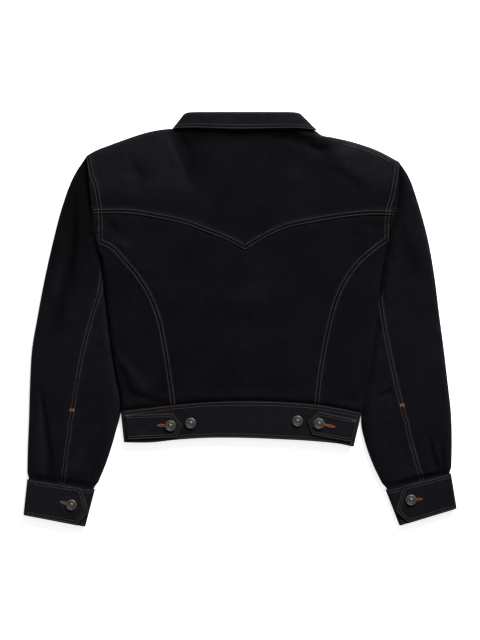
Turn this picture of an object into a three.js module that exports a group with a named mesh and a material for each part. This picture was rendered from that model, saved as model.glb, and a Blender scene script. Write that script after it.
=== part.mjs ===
// A cropped denim jacket laid flat on its front, back up, with the collar towards +Y.
// Sizes are in millimetres, and the surface it lies on is z = 0.

import * as THREE from 'three';

// Cloth, seams and heights
const CLOTH = 1.2;
const DOUBLED = 2.0;
const STAND = 1.4;
const GAP = 0.3;
const BODY_HIGH = 12.5;
const HEM_HIGH = 11.5;
const CUFF_HIGH = 11.5;
const TIP = 6.5;
const ROLL = 9;
const UNDER_ROLL = 7;
const SNAP = 0.06;

// Outline of the body, each row an x and a y, from the neck out and down
const SHOULDER = {
  left: [[-100.5, 305.6], [-120, 302.4], [-153.6, 297], [-206.4, 278.4], [-232, 268], [-246.4, 259.2]],
  right: [[110.5, 305.6], [131.2, 298], [150.4, 292.6], [180.8, 283.2], [217.6, 268.8], [253.6, 249.6]],
};
const ARMHOLE = {
  left: [[-246.4, 259.2], [-242.5, 211.2], [-238, 172.8], [-229.6, 126.4], [-222.4, 100.8]],
  right: [[253.6, 249.6], [252.4, 206.4], [249.3, 169.6], [242.4, 129.6], [232, 100.8]],
};
const SIDE = {
  left: [[-222.4, 100.8], [-219.2, 65.6], [-214.4, 14.4], [-201.6, -78.4], [-192.8, -121.6], [-190.4, -147.2]],
  right: [[232, 100.8], [225.6, 62.4], [221.6, 19.2], [205.6, -94.4], [198.4, -126.4], [194.9, -150.4]],
};
const HEM_SEAM = [[-190.4, -147.2], [-147.2, -142.4], [-107.2, -137.6], [-52.8, -132.8], [8, -131.2],
  [68.8, -132.8], [121.6, -136.8], [160, -143.2], [194.9, -150.4]];
const HEM_EDGE = [[-184.8, -197.6], [-142.4, -197.6], [-104, -193.6], [-52.8, -190.4], [8, -190.4],
  [68.8, -192.8], [112, -195.2], [160, -200], [182.4, -204.8]];

// Seams of the back, each row an x and a y
const YOKE_SEAM = {
  left: [[-238, 172.8], [-176, 172.4], [-128, 164.8], [-88, 156], [-51.2, 142.4], [-19.2, 129.6], [8, 115.2]],
  right: [[8, 115.2], [35.2, 132], [72, 148.8], [115.2, 158.4], [168, 167.2], [216, 171.2], [249.3, 169.6]],
};
const SIDE_SEAM = {
  left: [[-229.6, 126.4], [-205.4, 115.2], [-188.2, 97.6], [-165.1, 70.4], [-145.9, 40], [-130.6, 1.6],
    [-121, -43.2], [-113.3, -91.2], [-107.2, -137.6]],
  right: [[242.4, 129.6], [213.6, 112], [187.2, 88], [164.8, 55.2], [150.4, 20.8], [139.2, -25.6],
    [129.6, -76.8], [122.4, -137]],
};

// Sleeves, a row for each section from the armhole to the cuff: the outer and the inner fold's x and y,
// the height of the cloth, and how far the hind seam lies from the inner fold
const SLEEVE = {
  left: [
    { outer: [-246.4, 259.2], inner: [-222.4, 100.8], high: 12.5, hind: 9 },
    { outer: [-265.6, 225.6], inner: [-221.8, 84], high: 12.5, hind: 9 },
    { outer: [-284, 177.6], inner: [-220.2, 65.6], high: 13, hind: 10 },
    { outer: [-298.4, 126.4], inner: [-217, 30.4], high: 13, hind: 16 },
    { outer: [-312.8, 62.4], inner: [-212.8, -9.6], high: 13, hind: 29 },
    { outer: [-324, 1.6], inner: [-206.8, -52.8], high: 12.5, hind: 45 },
    { outer: [-332.8, -49.6], inner: [-199.8, -94.4], high: 12.5, hind: 60 },
    { outer: [-336.8, -105.6], inner: [-193.8, -132.8], high: 12.5, hind: 72 },
    { outer: [-338.4, -161.6], inner: [-196.8, -169.6], high: 12.5, hind: 75 },
    { outer: [-340, -209.6], inner: [-212.8, -222.4], high: 12, hind: 67.7 },
    { outer: [-341, -260.8], inner: [-236.8, -275.6], high: 11.5, hind: 50 },
  ],
  right: [
    { outer: [253.6, 249.6], inner: [232, 100.8], high: 12.5, hind: 9 },
    { outer: [267.2, 225.6], inner: [230.4, 81.6], high: 12.5, hind: 9 },
    { outer: [284.8, 180.8], inner: [226.6, 56], high: 13, hind: 9 },
    { outer: [300, 129.6], inner: [223.4, 24], high: 13, hind: 10 },
    { outer: [310.4, 70.4], inner: [217.9, -17.6], high: 13, hind: 18 },
    { outer: [317.6, 11.2], inner: [212, -59.2], high: 12.5, hind: 30 },
    { outer: [324.8, -44.8], inner: [205.6, -100.8], high: 12.5, hind: 43.6 },
    { outer: [331.2, -100.8], inner: [198.8, -138.5], high: 12.5, hind: 58 },
    { outer: [336.8, -153.6], inner: [197, -181], high: 12.5, hind: 71.6 },
    { outer: [338.4, -201.6], inner: [211.2, -228.8], high: 12, hind: 69 },
    { outer: [337.6, -251.2], inner: [236.8, -276.8], high: 11.5, hind: 59 },
  ],
};
const SLEEVE_TIP = 4.6;
const SLEEVE_ROLL = 15;
const FORE_SEAM = 0.5;

// Cuffs: corners, and how far across the pointed end reaches at the top, at its point and at the bottom
const CUFF = {
  left: {
    topOuter: [-341, -260.8], topInner: [-236.8, -275.6], bottomOuter: [-345.6, -312.8],
    bottomInner: [-249.6, -331.2], point: [0.8, 0.96, 0.86], pointAt: 0.58,
  },
  right: {
    topOuter: [337.6, -251.2], topInner: [236.8, -276.8], bottomOuter: [345.6, -302.4],
    bottomInner: [258.4, -329.4], point: [0.72, 0.94, 0.82], pointAt: 0.58,
  },
};
const CUFF_ROLL = 4.5;
const UNDER_END = 0.62;

// Waist tabs: outer end's top and bottom, then the top corner, the point and the bottom corner
const TAB = {
  left: [[-183, -152.5], [-179, -193.5], [-108, -150.4], [-91.7, -169.3], [-101, -190]],
  right: [[186, -160.5], [177.5, -197.5], [126.4, -147.6], [108, -164.8], [115.2, -185.8]],
};

// Collar, half of it, a row for each place round the neck from the centre back to the front end.
// x is measured from the collar's middle. The outer face looks along (outX, outZ).
const COLLAR_X = 5;
const COLLAR = [
  { fold: [0, 331.2, 14.5], edge: [0, 303.2, 15.6], seam: [0, 316, 10.8], outX: 0, outZ: 1 },
  { fold: [50, 331.2, 14.5], edge: [52, 304.5, 15.6], seam: [50, 315.3, 10.8], outX: 0, outZ: 1 },
  { fold: [76, 331, 14.2], edge: [90, 306.4, 15.4], seam: [80, 312.8, 10.7], outX: 0, outZ: 1 },
  { fold: [82.5, 330.5, 12.3], edge: [106, 307.2, 13], seam: [96, 309, 9.4], outX: 0.7, outZ: 0.7 },
  { fold: [85, 329.5, 8.5], edge: [110.6, 307.6, 7.5], seam: [104.5, 306, 6.5], outX: 1, outZ: 0 },
  { fold: [82.5, 327, 5], edge: [106.5, 307.4, 1.8], seam: [99, 297, 5], outX: 0.7, outZ: -0.7 },
  { fold: [76, 320, 4], edge: [99, 301, 0], seam: [88, 283, 4.4], outX: 0, outZ: -1 },
  { fold: [46, 290, 4], edge: [86, 258, 0], seam: [55, 255, 4.4], outX: 0, outZ: -1 },
  { fold: [23, 268, 4], edge: [64, 203, 0], seam: [23, 246, 4.4], outX: 0, outZ: -1 },
];
const FALL_RISE = 4;
const STAND_RISE = 3;
const COLLAR_ROLL = 5;
const COLLAR_STEPS = [0, 1, 2, 2.5, 3, 3.5, 4, 4.5, 5, 5.5, 6, 7, 8];
const NECK_POINT = 4;
const FRONT_END = 8;

// Fronts: the closing's middle, how far each front passes it, and how the layers step up there
const MIDDLE = 4;
const OVERLAP = 22;
const BUTTON_LIFT = 3.2;
const STEP = 1.5;
const BAND_STEP = 2.3;
const LEAF_LIFT = 2.6;
const LEAF_LOW = 176;
const LEAF_WIDE = 125;

// Creases, from one end to the other: how wide and how deep, with ridges positive
const CREASES = [
  { from: [-112, 300], to: [-92, 246], wide: 9, deep: 1.6 },
  { from: [60, 287], to: [138, 266], wide: 10, deep: -2.0 },
  { from: [78, 297], to: [128, 292], wide: 7, deep: 1.6 },
  { from: [-200, -64], to: [-172, -128], wide: 9, deep: -1.6 },
  { from: [-172, -128], to: [-120, -134], wide: 7, deep: 1.4 },
  { from: [156, -128], to: [182, -134], wide: 6, deep: -1.2 },
  { from: [10, 100], to: [-24, 44], wide: 14, deep: -0.9 },
  { from: [-40, 60], to: [60, 36], wide: 22, deep: 0.8 },
  { from: [-216, 152], to: [-196, 140], wide: 9, deep: -1.2 },
  { from: [198, 156], to: [222, 140], wide: 9, deep: -1.1 },
  { from: [-268, 176], to: [-278, 62], wide: 12, deep: -1.4 },
  { from: [-278, 62], to: [-290, 16], wide: 12, deep: -1.1 },
  { from: [-316, -110], to: [-304, -248], wide: 8, deep: -1.6 },
  { from: [-256, -196], to: [-262, -250], wide: 10, deep: 1.2 },
  { from: [306, -196], to: [316, -240], wide: 5, deep: -1.3 },
  { from: [320, -204], to: [324, -244], wide: 5, deep: -1.1 },
  { from: [218, -121], to: [245, -118], wide: 5, deep: -1.2 },
  { from: [264, 150], to: [276, 60], wide: 15, deep: -1.0 },
];

// Buttons: size, and where the middle of each lies
const BUTTON_RADIUS = 8.5;
const BUTTON_PROFILE = [[7.6, 0], [8.5, 0.8], [8.2, 2.2], [6.8, 2.5], [5.0, 2.0], [2.4, 2.7]];
const BUTTON_SIDES = 12;
const WAIST_BUTTONS = {
  button_tab_left: { at: [-111.4, -170.6], onTab: true },
  button_spare_left: { at: [-78.9, -166.7], onTab: false },
  button_spare_right: { at: [92, -163.2], onTab: false },
  button_tab_right: { at: [126.4, -167.2], onTab: true },
};
const CUFF_BUTTONS = { button_cuff_left: [-269.9, -297.6], button_cuff_right: [273.6, -289.6] };
const FRONT_BUTTONS_Y = [222, 158, 94, 30, -34, -166];

// Finishes
const DENIM = { color: 0x16181c, roughness: 0.9, metalness: 0 };
const METAL = { color: 0x8f9092, roughness: 0.42, metalness: 0.85 };

// Small helpers
const mix = THREE.MathUtils.lerp;
const clamp = THREE.MathUtils.clamp;
const flat = ([x, y]) => new THREE.Vector3(x, y, 0);
const rounded = (q) => (q >= 1 ? 1 : Math.sqrt(Math.max(0, 1 - (1 - q) ** 2)));

// Soft step from 0 at low to 1 at high, where high may be the smaller
function smooth(x, low, high) {
  const share = clamp((x - low) / (high - low), 0, 1);
  return share * share * (3 - 2 * share);
}

function curve(rows) {
  return new THREE.CatmullRomCurve3(rows.map(flat), false, 'centripetal');
}

// Point of a curve at a share of its length
function along(path, share) {
  return path.getPointAt(clamp(share, 0, 1));
}

// Distance in plan from a point to the nearest of some polylines
function distance(lines, x, y) {
  let nearest = Infinity;
  for (const line of lines) {
    for (let i = 1; i < line.length; i += 1) {
      const a = line[i - 1];
      const b = line[i];
      const dx = b.x - a.x;
      const dy = b.y - a.y;
      const share = clamp(((x - a.x) * dx + (y - a.y) * dy) / (dx * dx + dy * dy), 0, 1);
      nearest = Math.min(nearest, Math.hypot(x - a.x - share * dx, y - a.y - share * dy));
    }
  }
  return nearest < SNAP ? 0 : nearest;
}

// The curves of each side
const LINE_POINTS = 160;
const side = {};
for (const name of ['left', 'right']) {
  const rows = SLEEVE[name];
  side[name] = {
    name,
    outward: name === 'left' ? -1 : 1,
    shoulder: curve(SHOULDER[name]),
    armhole: curve(ARMHOLE[name]),
    fold: curve(SIDE[name]),
    seam: curve(SIDE_SEAM[name]),
    yoke: curve(YOKE_SEAM[name]),
    sleeveOuter: curve(rows.map((row) => row.outer)),
    sleeveInner: curve(rows.map((row) => row.inner)),
    rows,
  };
}
const hemSeam = curve(HEM_SEAM);
const hemEdge = curve(HEM_EDGE);
for (const one of Object.values(side)) {
  one.edgeLines = [
    one.shoulder.getPoints(LINE_POINTS),
    one.sleeveOuter.getPoints(2 * LINE_POINTS),
    one.fold.getPoints(LINE_POINTS),
  ];
  one.outerLines = [one.edgeLines[0], one.edgeLines[1]];
  one.innerLines = [one.sleeveInner.getPoints(2 * LINE_POINTS)];
}
const bodyEdges = [...side.left.edgeLines, ...side.right.edgeLines];

// How much a crease lifts or sinks the cloth at a place
function creases(x, y) {
  let lift = 0;
  for (const { from, to, wide, deep } of CREASES) {
    const dx = to[0] - from[0];
    const dy = to[1] - from[1];
    const share = ((x - from[0]) * dx + (y - from[1]) * dy) / (dx * dx + dy * dy);
    const near = clamp(share, 0, 1);
    const off = Math.hypot(x - from[0] - near * dx, y - from[1] - near * dy);
    lift += deep * Math.exp(-((off / wide) ** 2));
  }
  return lift;
}

// Heights of the body's cloth: outer face above, and outer face below
function bodyTop(x, y) {
  const edge = distance(bodyEdges, x, y);
  const full = mix(HEM_HIGH, BODY_HIGH, smooth(y, -150, -90)) + creases(x, y);
  const tip = TIP + GAP / 2;
  return tip + (full - tip) * rounded(edge / ROLL);
}

function placketLift(x, reach) {
  return reach * smooth(Math.abs(x - MIDDLE), OVERLAP + 22, OVERLAP + 4);
}

function bodyUnder(x, y, raised) {
  const edge = distance(bodyEdges, x, y);
  const overLeaf = smooth(y, LEAF_LOW - 26, LEAF_LOW - 4) * smooth(Math.abs(x - COLLAR_X), LEAF_WIDE + 20, LEAF_WIDE);
  const lift = Math.max(LEAF_LIFT * overLeaf, placketLift(x, raised));
  const tip = TIP - GAP / 2;
  return tip + (lift - tip) * rounded(edge / UNDER_ROLL);
}

// Patch in plan between four edges
function patch(top, bottom, left, right) {
  return (s, t) => {
    const across = top(s).lerp(bottom(s), t);
    const down = left(t).lerp(right(t), s);
    const corners = top(0).lerp(top(1), s).lerp(bottom(0).lerp(bottom(1), s), t);
    return across.add(down).sub(corners);
  };
}

// Patch drawn in by half a seam's gap at the edges that are sewn: left, right, top, bottom
function drawnIn(surface, [left, right, top, bottom]) {
  const half = GAP / 2;
  return (s, t) => {
    const wide = Math.max(1, surface(0, t).distanceTo(surface(1, t)));
    const tall = Math.max(1, surface(s, 0).distanceTo(surface(s, 1)));
    return surface(mix((left * half) / wide, 1 - (right * half) / wide, s),
      mix((top * half) / tall, 1 - (bottom * half) / tall, t));
  };
}

// Shares of a length: some fixed distances from its start, then even steps to its end
const NEAR = [0, 1, 4, 9];
function shares(length, steps, near = NEAR) {
  const first = near.map((d) => d / length);
  const last = first[first.length - 1];
  for (let i = 1; i <= steps; i += 1) first.push(mix(last, 1, i / steps));
  return first;
}

function even(steps, from = 0, to = 1) {
  return Array.from({ length: steps + 1 }, (_, i) => mix(from, to, i / steps));
}

// Take out of a direction what points across an edge, so that the wall there stands upright over the seam
function standUpright(out, run) {
  const aside = new THREE.Vector3(run.y, -run.x, 0);
  if (aside.length() < 1e-6) return;
  aside.normalize();
  out.addScaledVector(aside, -out.dot(aside));
}

// A closed piece of cloth: its outer face is a grid of points, and its inner face lies a thickness within.
// The options give a direction for the wall where an edge is a fold, and a point where the outer face looks up.
function sewn(name, outer, thick, finish, { turned = () => null, faces = 1, check = null } = {}) {
  const rows = outer.length;
  const cols = outer[0].length;
  const at = (j, i) => outer[clamp(j, 0, rows - 1)][clamp(i, 0, cols - 1)];
  const normal = (j, i) => {
    const across = at(j, i + 1).clone().sub(at(j, i - 1));
    const down = at(j + 1, i).clone().sub(at(j - 1, i));
    return across.cross(down).normalize();
  };
  const [checkRow, checkCol] = check ?? [Math.floor(rows / 2), 0];
  const sign = Math.sign(normal(checkRow, checkCol).z) * faces;
  const inner = outer.map((line, j) => line.map((point, i) => {
    const out = normal(j, i).multiplyScalar(sign);
    const fold = turned(point, j, i);
    if (fold) {
      out.copy(fold === true ? out.setZ(0) : fold).normalize();
      return point.clone().addScaledVector(out, -thick);
    }
    if (i === 0 || i === cols - 1) standUpright(out, at(j + 1, i).clone().sub(at(j - 1, i)));
    else if (j === 0 || j === rows - 1) standUpright(out, at(j, i + 1).clone().sub(at(j, i - 1)));
    return point.clone().addScaledVector(out.normalize(), -thick);
  }));
  const points = [...outer.flat(), ...inner.flat()];
  const triangles = [];
  const o = (j, i) => j * cols + i;
  const n = (j, i) => rows * cols + j * cols + i;
  const quad = (a, b, c, d) => triangles.push([a, b, c], [a, c, d]);
  for (let j = 0; j + 1 < rows; j += 1) {
    for (let i = 0; i + 1 < cols; i += 1) {
      quad(o(j, i), o(j, i + 1), o(j + 1, i + 1), o(j + 1, i));
      quad(n(j, i), n(j + 1, i), n(j + 1, i + 1), n(j, i + 1));
    }
  }
  for (let j = 0; j + 1 < rows; j += 1) {
    quad(o(j, 0), o(j + 1, 0), n(j + 1, 0), n(j, 0));
    quad(o(j, cols - 1), n(j, cols - 1), n(j + 1, cols - 1), o(j + 1, cols - 1));
  }
  for (let i = 0; i + 1 < cols; i += 1) {
    quad(o(0, i), n(0, i), n(0, i + 1), o(0, i + 1));
    quad(o(rows - 1, i), o(rows - 1, i + 1), n(rows - 1, i + 1), n(rows - 1, i));
  }
  let volume = 0;
  for (const [a, b, c] of triangles) {
    volume += points[a].dot(points[b].clone().cross(points[c]));
  }
  const geometry = new THREE.BufferGeometry().setFromPoints(points);
  geometry.setIndex(triangles.flatMap(([a, b, c]) => (volume > 0 ? [a, b, c] : [a, c, b])));
  geometry.computeVertexNormals();
  const mesh = new THREE.Mesh(geometry, new THREE.MeshStandardMaterial(finish));
  mesh.name = name;
  return mesh;
}

// Grid of a height field over a patch. rows and cols are shares, and rows may depend on the column.
function spread(surface, height, cols, rows) {
  return rows(0).map((_, j) => cols.map((s) => {
    const place = surface(s, rows(s)[j]);
    return place.setZ(height(place.x, place.y));
  }));
}

// At a folded edge the wall stands level, not upright
const foldedEdge = (point) => (distance(bodyEdges, point.x, point.y) < SNAP * 2 ? true : null);

// Shares of the armhole where the yoke and the side panel begin
function nearestShare(path, [x, y]) {
  const steps = 400;
  let best = 0;
  let least = Infinity;
  for (let i = 0; i <= steps; i += 1) {
    const gap = path.getPointAt(i / steps).distanceTo(new THREE.Vector3(x, y, 0));
    if (gap < least) {
      least = gap;
      best = i / steps;
    }
  }
  return best;
}

for (const one of Object.values(side)) {
  one.armholeLength = one.armhole.getLength();
  one.yokeShare = nearestShare(one.armhole, YOKE_SEAM[one.name][one.name === 'left' ? 0 : 6]);
  one.sideShare = nearestShare(one.armhole, SIDE_SEAM[one.name][0]);
  one.hemShare = nearestShare(hemSeam, SIDE_SEAM[one.name].at(-1));
}

// Collar rows read at any place round the neck, signed to the left or to the right
const collarCurve = {};
for (const part of ['fold', 'edge', 'seam']) {
  const half = COLLAR.map((row) => new THREE.Vector3(...row[part]));
  const other = half.slice(1).reverse().map((p) => new THREE.Vector3(-p.x, p.y, p.z));
  collarCurve[part] = new THREE.CatmullRomCurve3([...other, ...half], false, 'centripetal');
}
const outCurve = new THREE.CatmullRomCurve3([
  ...COLLAR.slice(1).reverse().map((row) => new THREE.Vector3(-row.outX, 0, row.outZ)),
  ...COLLAR.map((row) => new THREE.Vector3(row.outX, 0, row.outZ)),
], false, 'centripetal');
function collarAt(part, place) {
  const point = collarCurve[part].getPoint((place + FRONT_END) / (2 * FRONT_END));
  return point.setX(point.x + COLLAR_X);
}
function collarOut(place) {
  return outCurve.getPoint((place + FRONT_END) / (2 * FRONT_END)).normalize();
}
const neckSeam = (place) => collarAt('seam', place).setZ(0);

// Share of the back centre's edge that lies along the armhole
const ARMPIT_SHARE = 0.13;

// Shares of the yoke's upper edge: left shoulder, neck, right shoulder
const SHOULDER_SHARE = 0.3;
const NECK_STEPS = COLLAR_STEPS.filter((step) => step <= NECK_POINT);
const neckShare = (place) => mix(SHOULDER_SHARE, 1 - SHOULDER_SHARE, (place + NECK_POINT) / (2 * NECK_POINT));
const yokeColumns = [
  ...even(5, 0, SHOULDER_SHARE).slice(0, -1),
  ...NECK_STEPS.slice(1).reverse().map((step) => neckShare(-step)),
  ...NECK_STEPS.map(neckShare),
  ...even(5, 1 - SHOULDER_SHARE, 1).slice(1),
];

function yokeTop(s) {
  if (s < SHOULDER_SHARE) return along(side.left.shoulder, 1 - s / SHOULDER_SHARE);
  if (s > 1 - SHOULDER_SHARE) return along(side.right.shoulder, (s - 1 + SHOULDER_SHARE) / SHOULDER_SHARE);
  return neckSeam(mix(-NECK_POINT, NECK_POINT, (s - SHOULDER_SHARE) / (1 - 2 * SHOULDER_SHARE)));
}

function yokeSeam(s) {
  return s < 0.5 ? along(side.left.yoke, 2 * s) : along(side.right.yoke, 2 * s - 1);
}

function makeYoke() {
  const { left, right } = side;
  const shape = patch(yokeTop, yokeSeam,
    (t) => along(left.armhole, t * left.yokeShare), (t) => along(right.armhole, t * right.yokeShare));
  const atShoulder = drawnIn(shape, [1, 1, 0, 1]);
  const atNeck = drawnIn(shape, [1, 1, 1, 1]);
  const place = (s, t) => (s < SHOULDER_SHARE || s > 1 - SHOULDER_SHARE ? atShoulder(s, t) : atNeck(s, t));
  const rows = (s) => shares(yokeTop(s).distanceTo(yokeSeam(s)), 4);
  return sewn('back_yoke', spread(place, bodyTop, yokeColumns, rows), CLOTH, DENIM, { turned: foldedEdge });
}

function makeBackCentre() {
  const edge = (one) => (t) => {
    if (t < ARMPIT_SHARE) return along(one.armhole, mix(one.yokeShare, one.sideShare, t / ARMPIT_SHARE));
    return along(one.seam, (t - ARMPIT_SHARE) / (1 - ARMPIT_SHARE));
  };
  const bottom = (s) => along(hemSeam, mix(side.left.hemShare, side.right.hemShare, s));
  const surface = drawnIn(patch(yokeSeam, bottom, edge(side.left), edge(side.right)), [1, 1, 1, 1]);
  const rows = [...even(2, 0, ARMPIT_SHARE), ...even(14, ARMPIT_SHARE, 1).slice(1)];
  return sewn('back_centre', spread(surface, bodyTop, yokeColumns, () => rows), CLOTH, DENIM);
}

function makeBackSide(one) {
  const top = (s) => along(one.armhole, mix(1, one.sideShare, s));
  const bottom = (s) => along(hemSeam, one.name === 'left' ? s * one.hemShare : mix(1, one.hemShare, s));
  const surface = drawnIn(patch(top, bottom, (t) => along(one.fold, t), (t) => along(one.seam, t)), [0, 1, 1, 1]);
  const rows = even(14);
  const grid = rows.map((t) => {
    const wide = surface(0, t).distanceTo(surface(1, t));
    return shares(wide, 3).map((s) => {
      const place = surface(s, t);
      return place.setZ(bodyTop(place.x, place.y));
    });
  });
  return sewn(`back_side_${one.name}`, grid, CLOTH, DENIM, { turned: foldedEdge, check: [7, 4] });
}

// Shares of the armhole's lower half where the front and the sleeve have their points
const UNDER_STEPS = [0, 0.012, 0.045, 0.1, 0.3, 0.55, 0.78, 0.92, 0.975, 1];

function makeFront(one) {
  const raised = one.name === 'left' ? BUTTON_LIFT : BUTTON_LIFT + STEP;
  const inward = -one.outward;
  const edgeX = MIDDLE + inward * OVERLAP;
  const armShare = one.armholeLength / (one.armholeLength + one.fold.getLength());
  const outerEdge = (t) => (t < armShare ? along(one.armhole, t / armShare)
    : along(one.fold, (t - armShare) / (1 - armShare)));
  const neckEnd = neckSeam(one.outward * FRONT_END);
  const corner = new THREE.Vector3(edgeX, neckEnd.y - 1, 0);
  const hemEnd = nearestShare(hemSeam, [edgeX, -132]);
  const hemTurn = nearestShare(hemSeam, [neckEnd.x, -132]);
  const shoulderPart = 0.45;
  const neckPart = 0.85;
  const neckSteps = COLLAR_STEPS.filter((step) => step >= NECK_POINT);
  const topEdge = (s) => {
    if (s < shoulderPart) return along(one.shoulder, 1 - s / shoulderPart);
    if (s <= neckPart) {
      return neckSeam(one.outward * mix(NECK_POINT, FRONT_END, (s - shoulderPart) / (neckPart - shoulderPart)));
    }
    return neckEnd.clone().lerp(corner, (s - neckPart) / (1 - neckPart));
  };
  const bottomEdge = (s) => {
    if (s < neckPart) return along(hemSeam, mix(one.name === 'left' ? 0 : 1, hemTurn, s / neckPart));
    return along(hemSeam, mix(hemTurn, hemEnd, (s - neckPart) / (1 - neckPart)));
  };
  const closing = (t) => corner.clone().lerp(bottomEdge(1), t);
  const shape = patch(topEdge, bottomEdge, outerEdge, closing);
  const columns = [
    ...[0, 0.012, 0.04],
    ...even(5, 0, shoulderPart).slice(1, -1),
    ...neckSteps.map((step) => mix(shoulderPart, neckPart, (step - NECK_POINT) / (FRONT_END - NECK_POINT))),
    1,
  ];
  const rows = [...UNDER_STEPS.map((step) => step * armShare), ...even(9, armShare, 1).slice(1)];
  const half = GAP / 2;
  const grid = rows.map((t) => columns.map((s) => {
    const wide = shape(0, t).distanceTo(shape(1, t));
    const tall = shape(s, 0).distanceTo(shape(s, 1));
    const sewnOuter = t < armShare * 0.999;
    const sewnTop = s >= shoulderPart;
    const place = shape(mix(sewnOuter ? half / wide : 0, 1, s), mix(sewnTop ? half / tall : 0, 1 - half / tall, t));
    return place.setZ(bodyUnder(place.x, place.y, raised));
  }));
  return sewn(`front_${one.name}`, grid, CLOTH, DENIM, { turned: foldedEdge, faces: -1, check: [14, 6] });
}

// A sleeve's section at a share of its length: folds, height and hind seam
function sleeveSection(one, t) {
  const position = clamp(t, 0, 1) * (one.rows.length - 1);
  const index = Math.min(Math.floor(position), one.rows.length - 2);
  const part = position - index;
  const a = one.rows[index];
  const b = one.rows[index + 1];
  return {
    outer: one.sleeveOuter.getPoint(clamp(t, 0, 1)),
    inner: one.sleeveInner.getPoint(clamp(t, 0, 1)),
    high: mix(a.high, b.high, part),
    hind: mix(a.hind, b.hind, part),
  };
}

// Plan of a sleeve: share 0 is the outer fold and share 1 the inner fold
function sleevePlan(one, share, t) {
  const { outer, inner } = sleeveSection(one, t);
  const place = outer.clone().lerp(inner, share);
  const start = one.armhole.getPointAt(0).lerp(one.armhole.getPointAt(1), share);
  const bend = along(one.armhole, share).sub(start);
  place.addScaledVector(bend, 1 - smooth(t, 0, 0.3));
  const apart = (GAP / 2) * (1 - smooth(t, 0, 0.05));
  place.x += one.outward * apart * (share < 0.999 ? 1 : 0.6);
  return place;
}

function sleeveHeight(one, x, y, t, above) {
  const outer = rounded(distance(one.outerLines, x, y) / (above ? ROLL : UNDER_ROLL));
  const early = smooth(t, 0, 0.12);
  const innerRoll = above ? mix(ROLL, SLEEVE_ROLL, early) : UNDER_ROLL;
  const inner = rounded(distance(one.innerLines, x, y) / innerRoll);
  const outerTip = mix(TIP, CUFF_HIGH / 2, smooth(t, 0.8, 1));
  const innerTip = mix(TIP, SLEEVE_TIP, early);
  const full = above ? sleeveSection(one, t).high + creases(x, y) * smooth(t, 1, 0.97) : 0;
  return full - (full - outerTip) * (1 - outer) - (full - innerTip) * (1 - inner);
}

const SLEEVE_ROWS = [0, 0.03, 0.07, 0.12, 0.18, 0.25, 0.32, 0.4, 0.48, 0.56, 0.64, 0.72, 0.8, 0.87, 0.94, 1];
const HIND_STEPS = [1, 0.72, 0.45, 0.22, 0.08];
const END_GAP = 0.0012;

function sleevePoint(one, share, t, above) {
  const row = mix(0, 1 - END_GAP, t);
  const place = sleevePlan(one, share, row);
  return place.setZ(sleeveHeight(one, place.x, place.y, row, above));
}

// Where the hind seam lies across the top, and the fore seam across the underside
const sleeveWide = (one, t) => {
  const { outer, inner } = sleeveSection(one, t);
  return outer.distanceTo(inner);
};

function makeUpperSleeve(one) {
  const grid = SLEEVE_ROWS.map((t) => {
    const wide = sleeveWide(one, t);
    const seam = 1 - (sleeveSection(one, t).hind + GAP / 2) / wide;
    const start = one.yokeShare;
    const top = [
      ...shares(one.armholeLength * start, 4).map((d) => d * start),
      ...even(2, start, one.sideShare).slice(1),
      ...even(2, one.sideShare, 1 - 9 / one.armholeLength).slice(1),
    ];
    const last = top.at(-1);
    const above = top.reverse().map((share) => sleevePoint(one, (share / last) * seam, t, true));
    const fore = FORE_SEAM - GAP / 2 / wide;
    const below = UNDER_STEPS.slice(1, 6).map((step) => sleevePoint(one, (step / UNDER_STEPS[5]) * fore, t, false));
    return [...above, ...below];
  });
  return sewn(`sleeve_upper_${one.name}`, grid, CLOTH, DENIM, { check: [8, 2] });
}

function makeUnderSleeve(one) {
  const grid = SLEEVE_ROWS.map((t) => {
    const wide = sleeveWide(one, t);
    const hind = (sleeveSection(one, t).hind - GAP / 2) / wide;
    const above = HIND_STEPS.map((step) => sleevePoint(one, 1 - step * hind, t, true));
    const fore = 1 - FORE_SEAM - GAP / 2 / wide;
    const below = [0, 0.05, 0.16, 0.4, 0.7, 1].map((step) => sleevePoint(one, 1 - step * fore, t, false));
    return [...above, ...below];
  });
  return sewn(`sleeve_under_${one.name}`, grid, CLOTH, DENIM, { check: [12, 1] });
}

// A cuff is a doubled strip wrapped round, its pointed end lying over its other end
function makeCuff(one) {
  const { topOuter, topInner, bottomOuter, bottomInner, point, pointAt } = CUFF[one.name];
  const depths = [0, 0.2, 0.4, pointAt, 0.72, 0.86, 1];
  const grid = depths.map((depth) => {
    const d = mix(GAP / 2 / 52, 1, depth);
    const outer = flat(topOuter).lerp(flat(bottomOuter), d);
    const inner = flat(topInner).lerp(flat(bottomInner), d);
    const wide = outer.distanceTo(inner);
    const reach = depth < pointAt ? mix(point[0], point[1], depth / pointAt)
      : mix(point[1], point[2], (depth - pointAt) / (1 - pointAt));
    const half = CUFF_HIGH / 2;
    const lower = CUFF_HIGH - DOUBLED - GAP;
    const section = (across, z) => outer.clone().lerp(inner, across / wide).setZ(z);
    const strip = even(4, reach * wide, 14).map((across) => section(across, CUFF_HIGH));
    for (const turn of even(6, Math.PI / 2, -Math.PI / 2)) {
      strip.push(section(CUFF_ROLL * (1 - Math.cos(turn)), half * (1 + Math.sin(turn))));
    }
    for (const across of even(4, 14, wide - 14)) strip.push(section(across, 0));
    for (const turn of even(5, -Math.PI / 2, Math.PI / 2)) {
      strip.push(section(wide - CUFF_ROLL * (1 - Math.cos(turn)), (lower / 2) * (1 + Math.sin(turn))));
    }
    for (const across of even(2, wide - 14, UNDER_END * wide)) strip.push(section(across, lower));
    return strip;
  });
  return sewn(`cuff_${one.name}`, grid, DOUBLED, DENIM, { check: [3, 1] });
}

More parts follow.
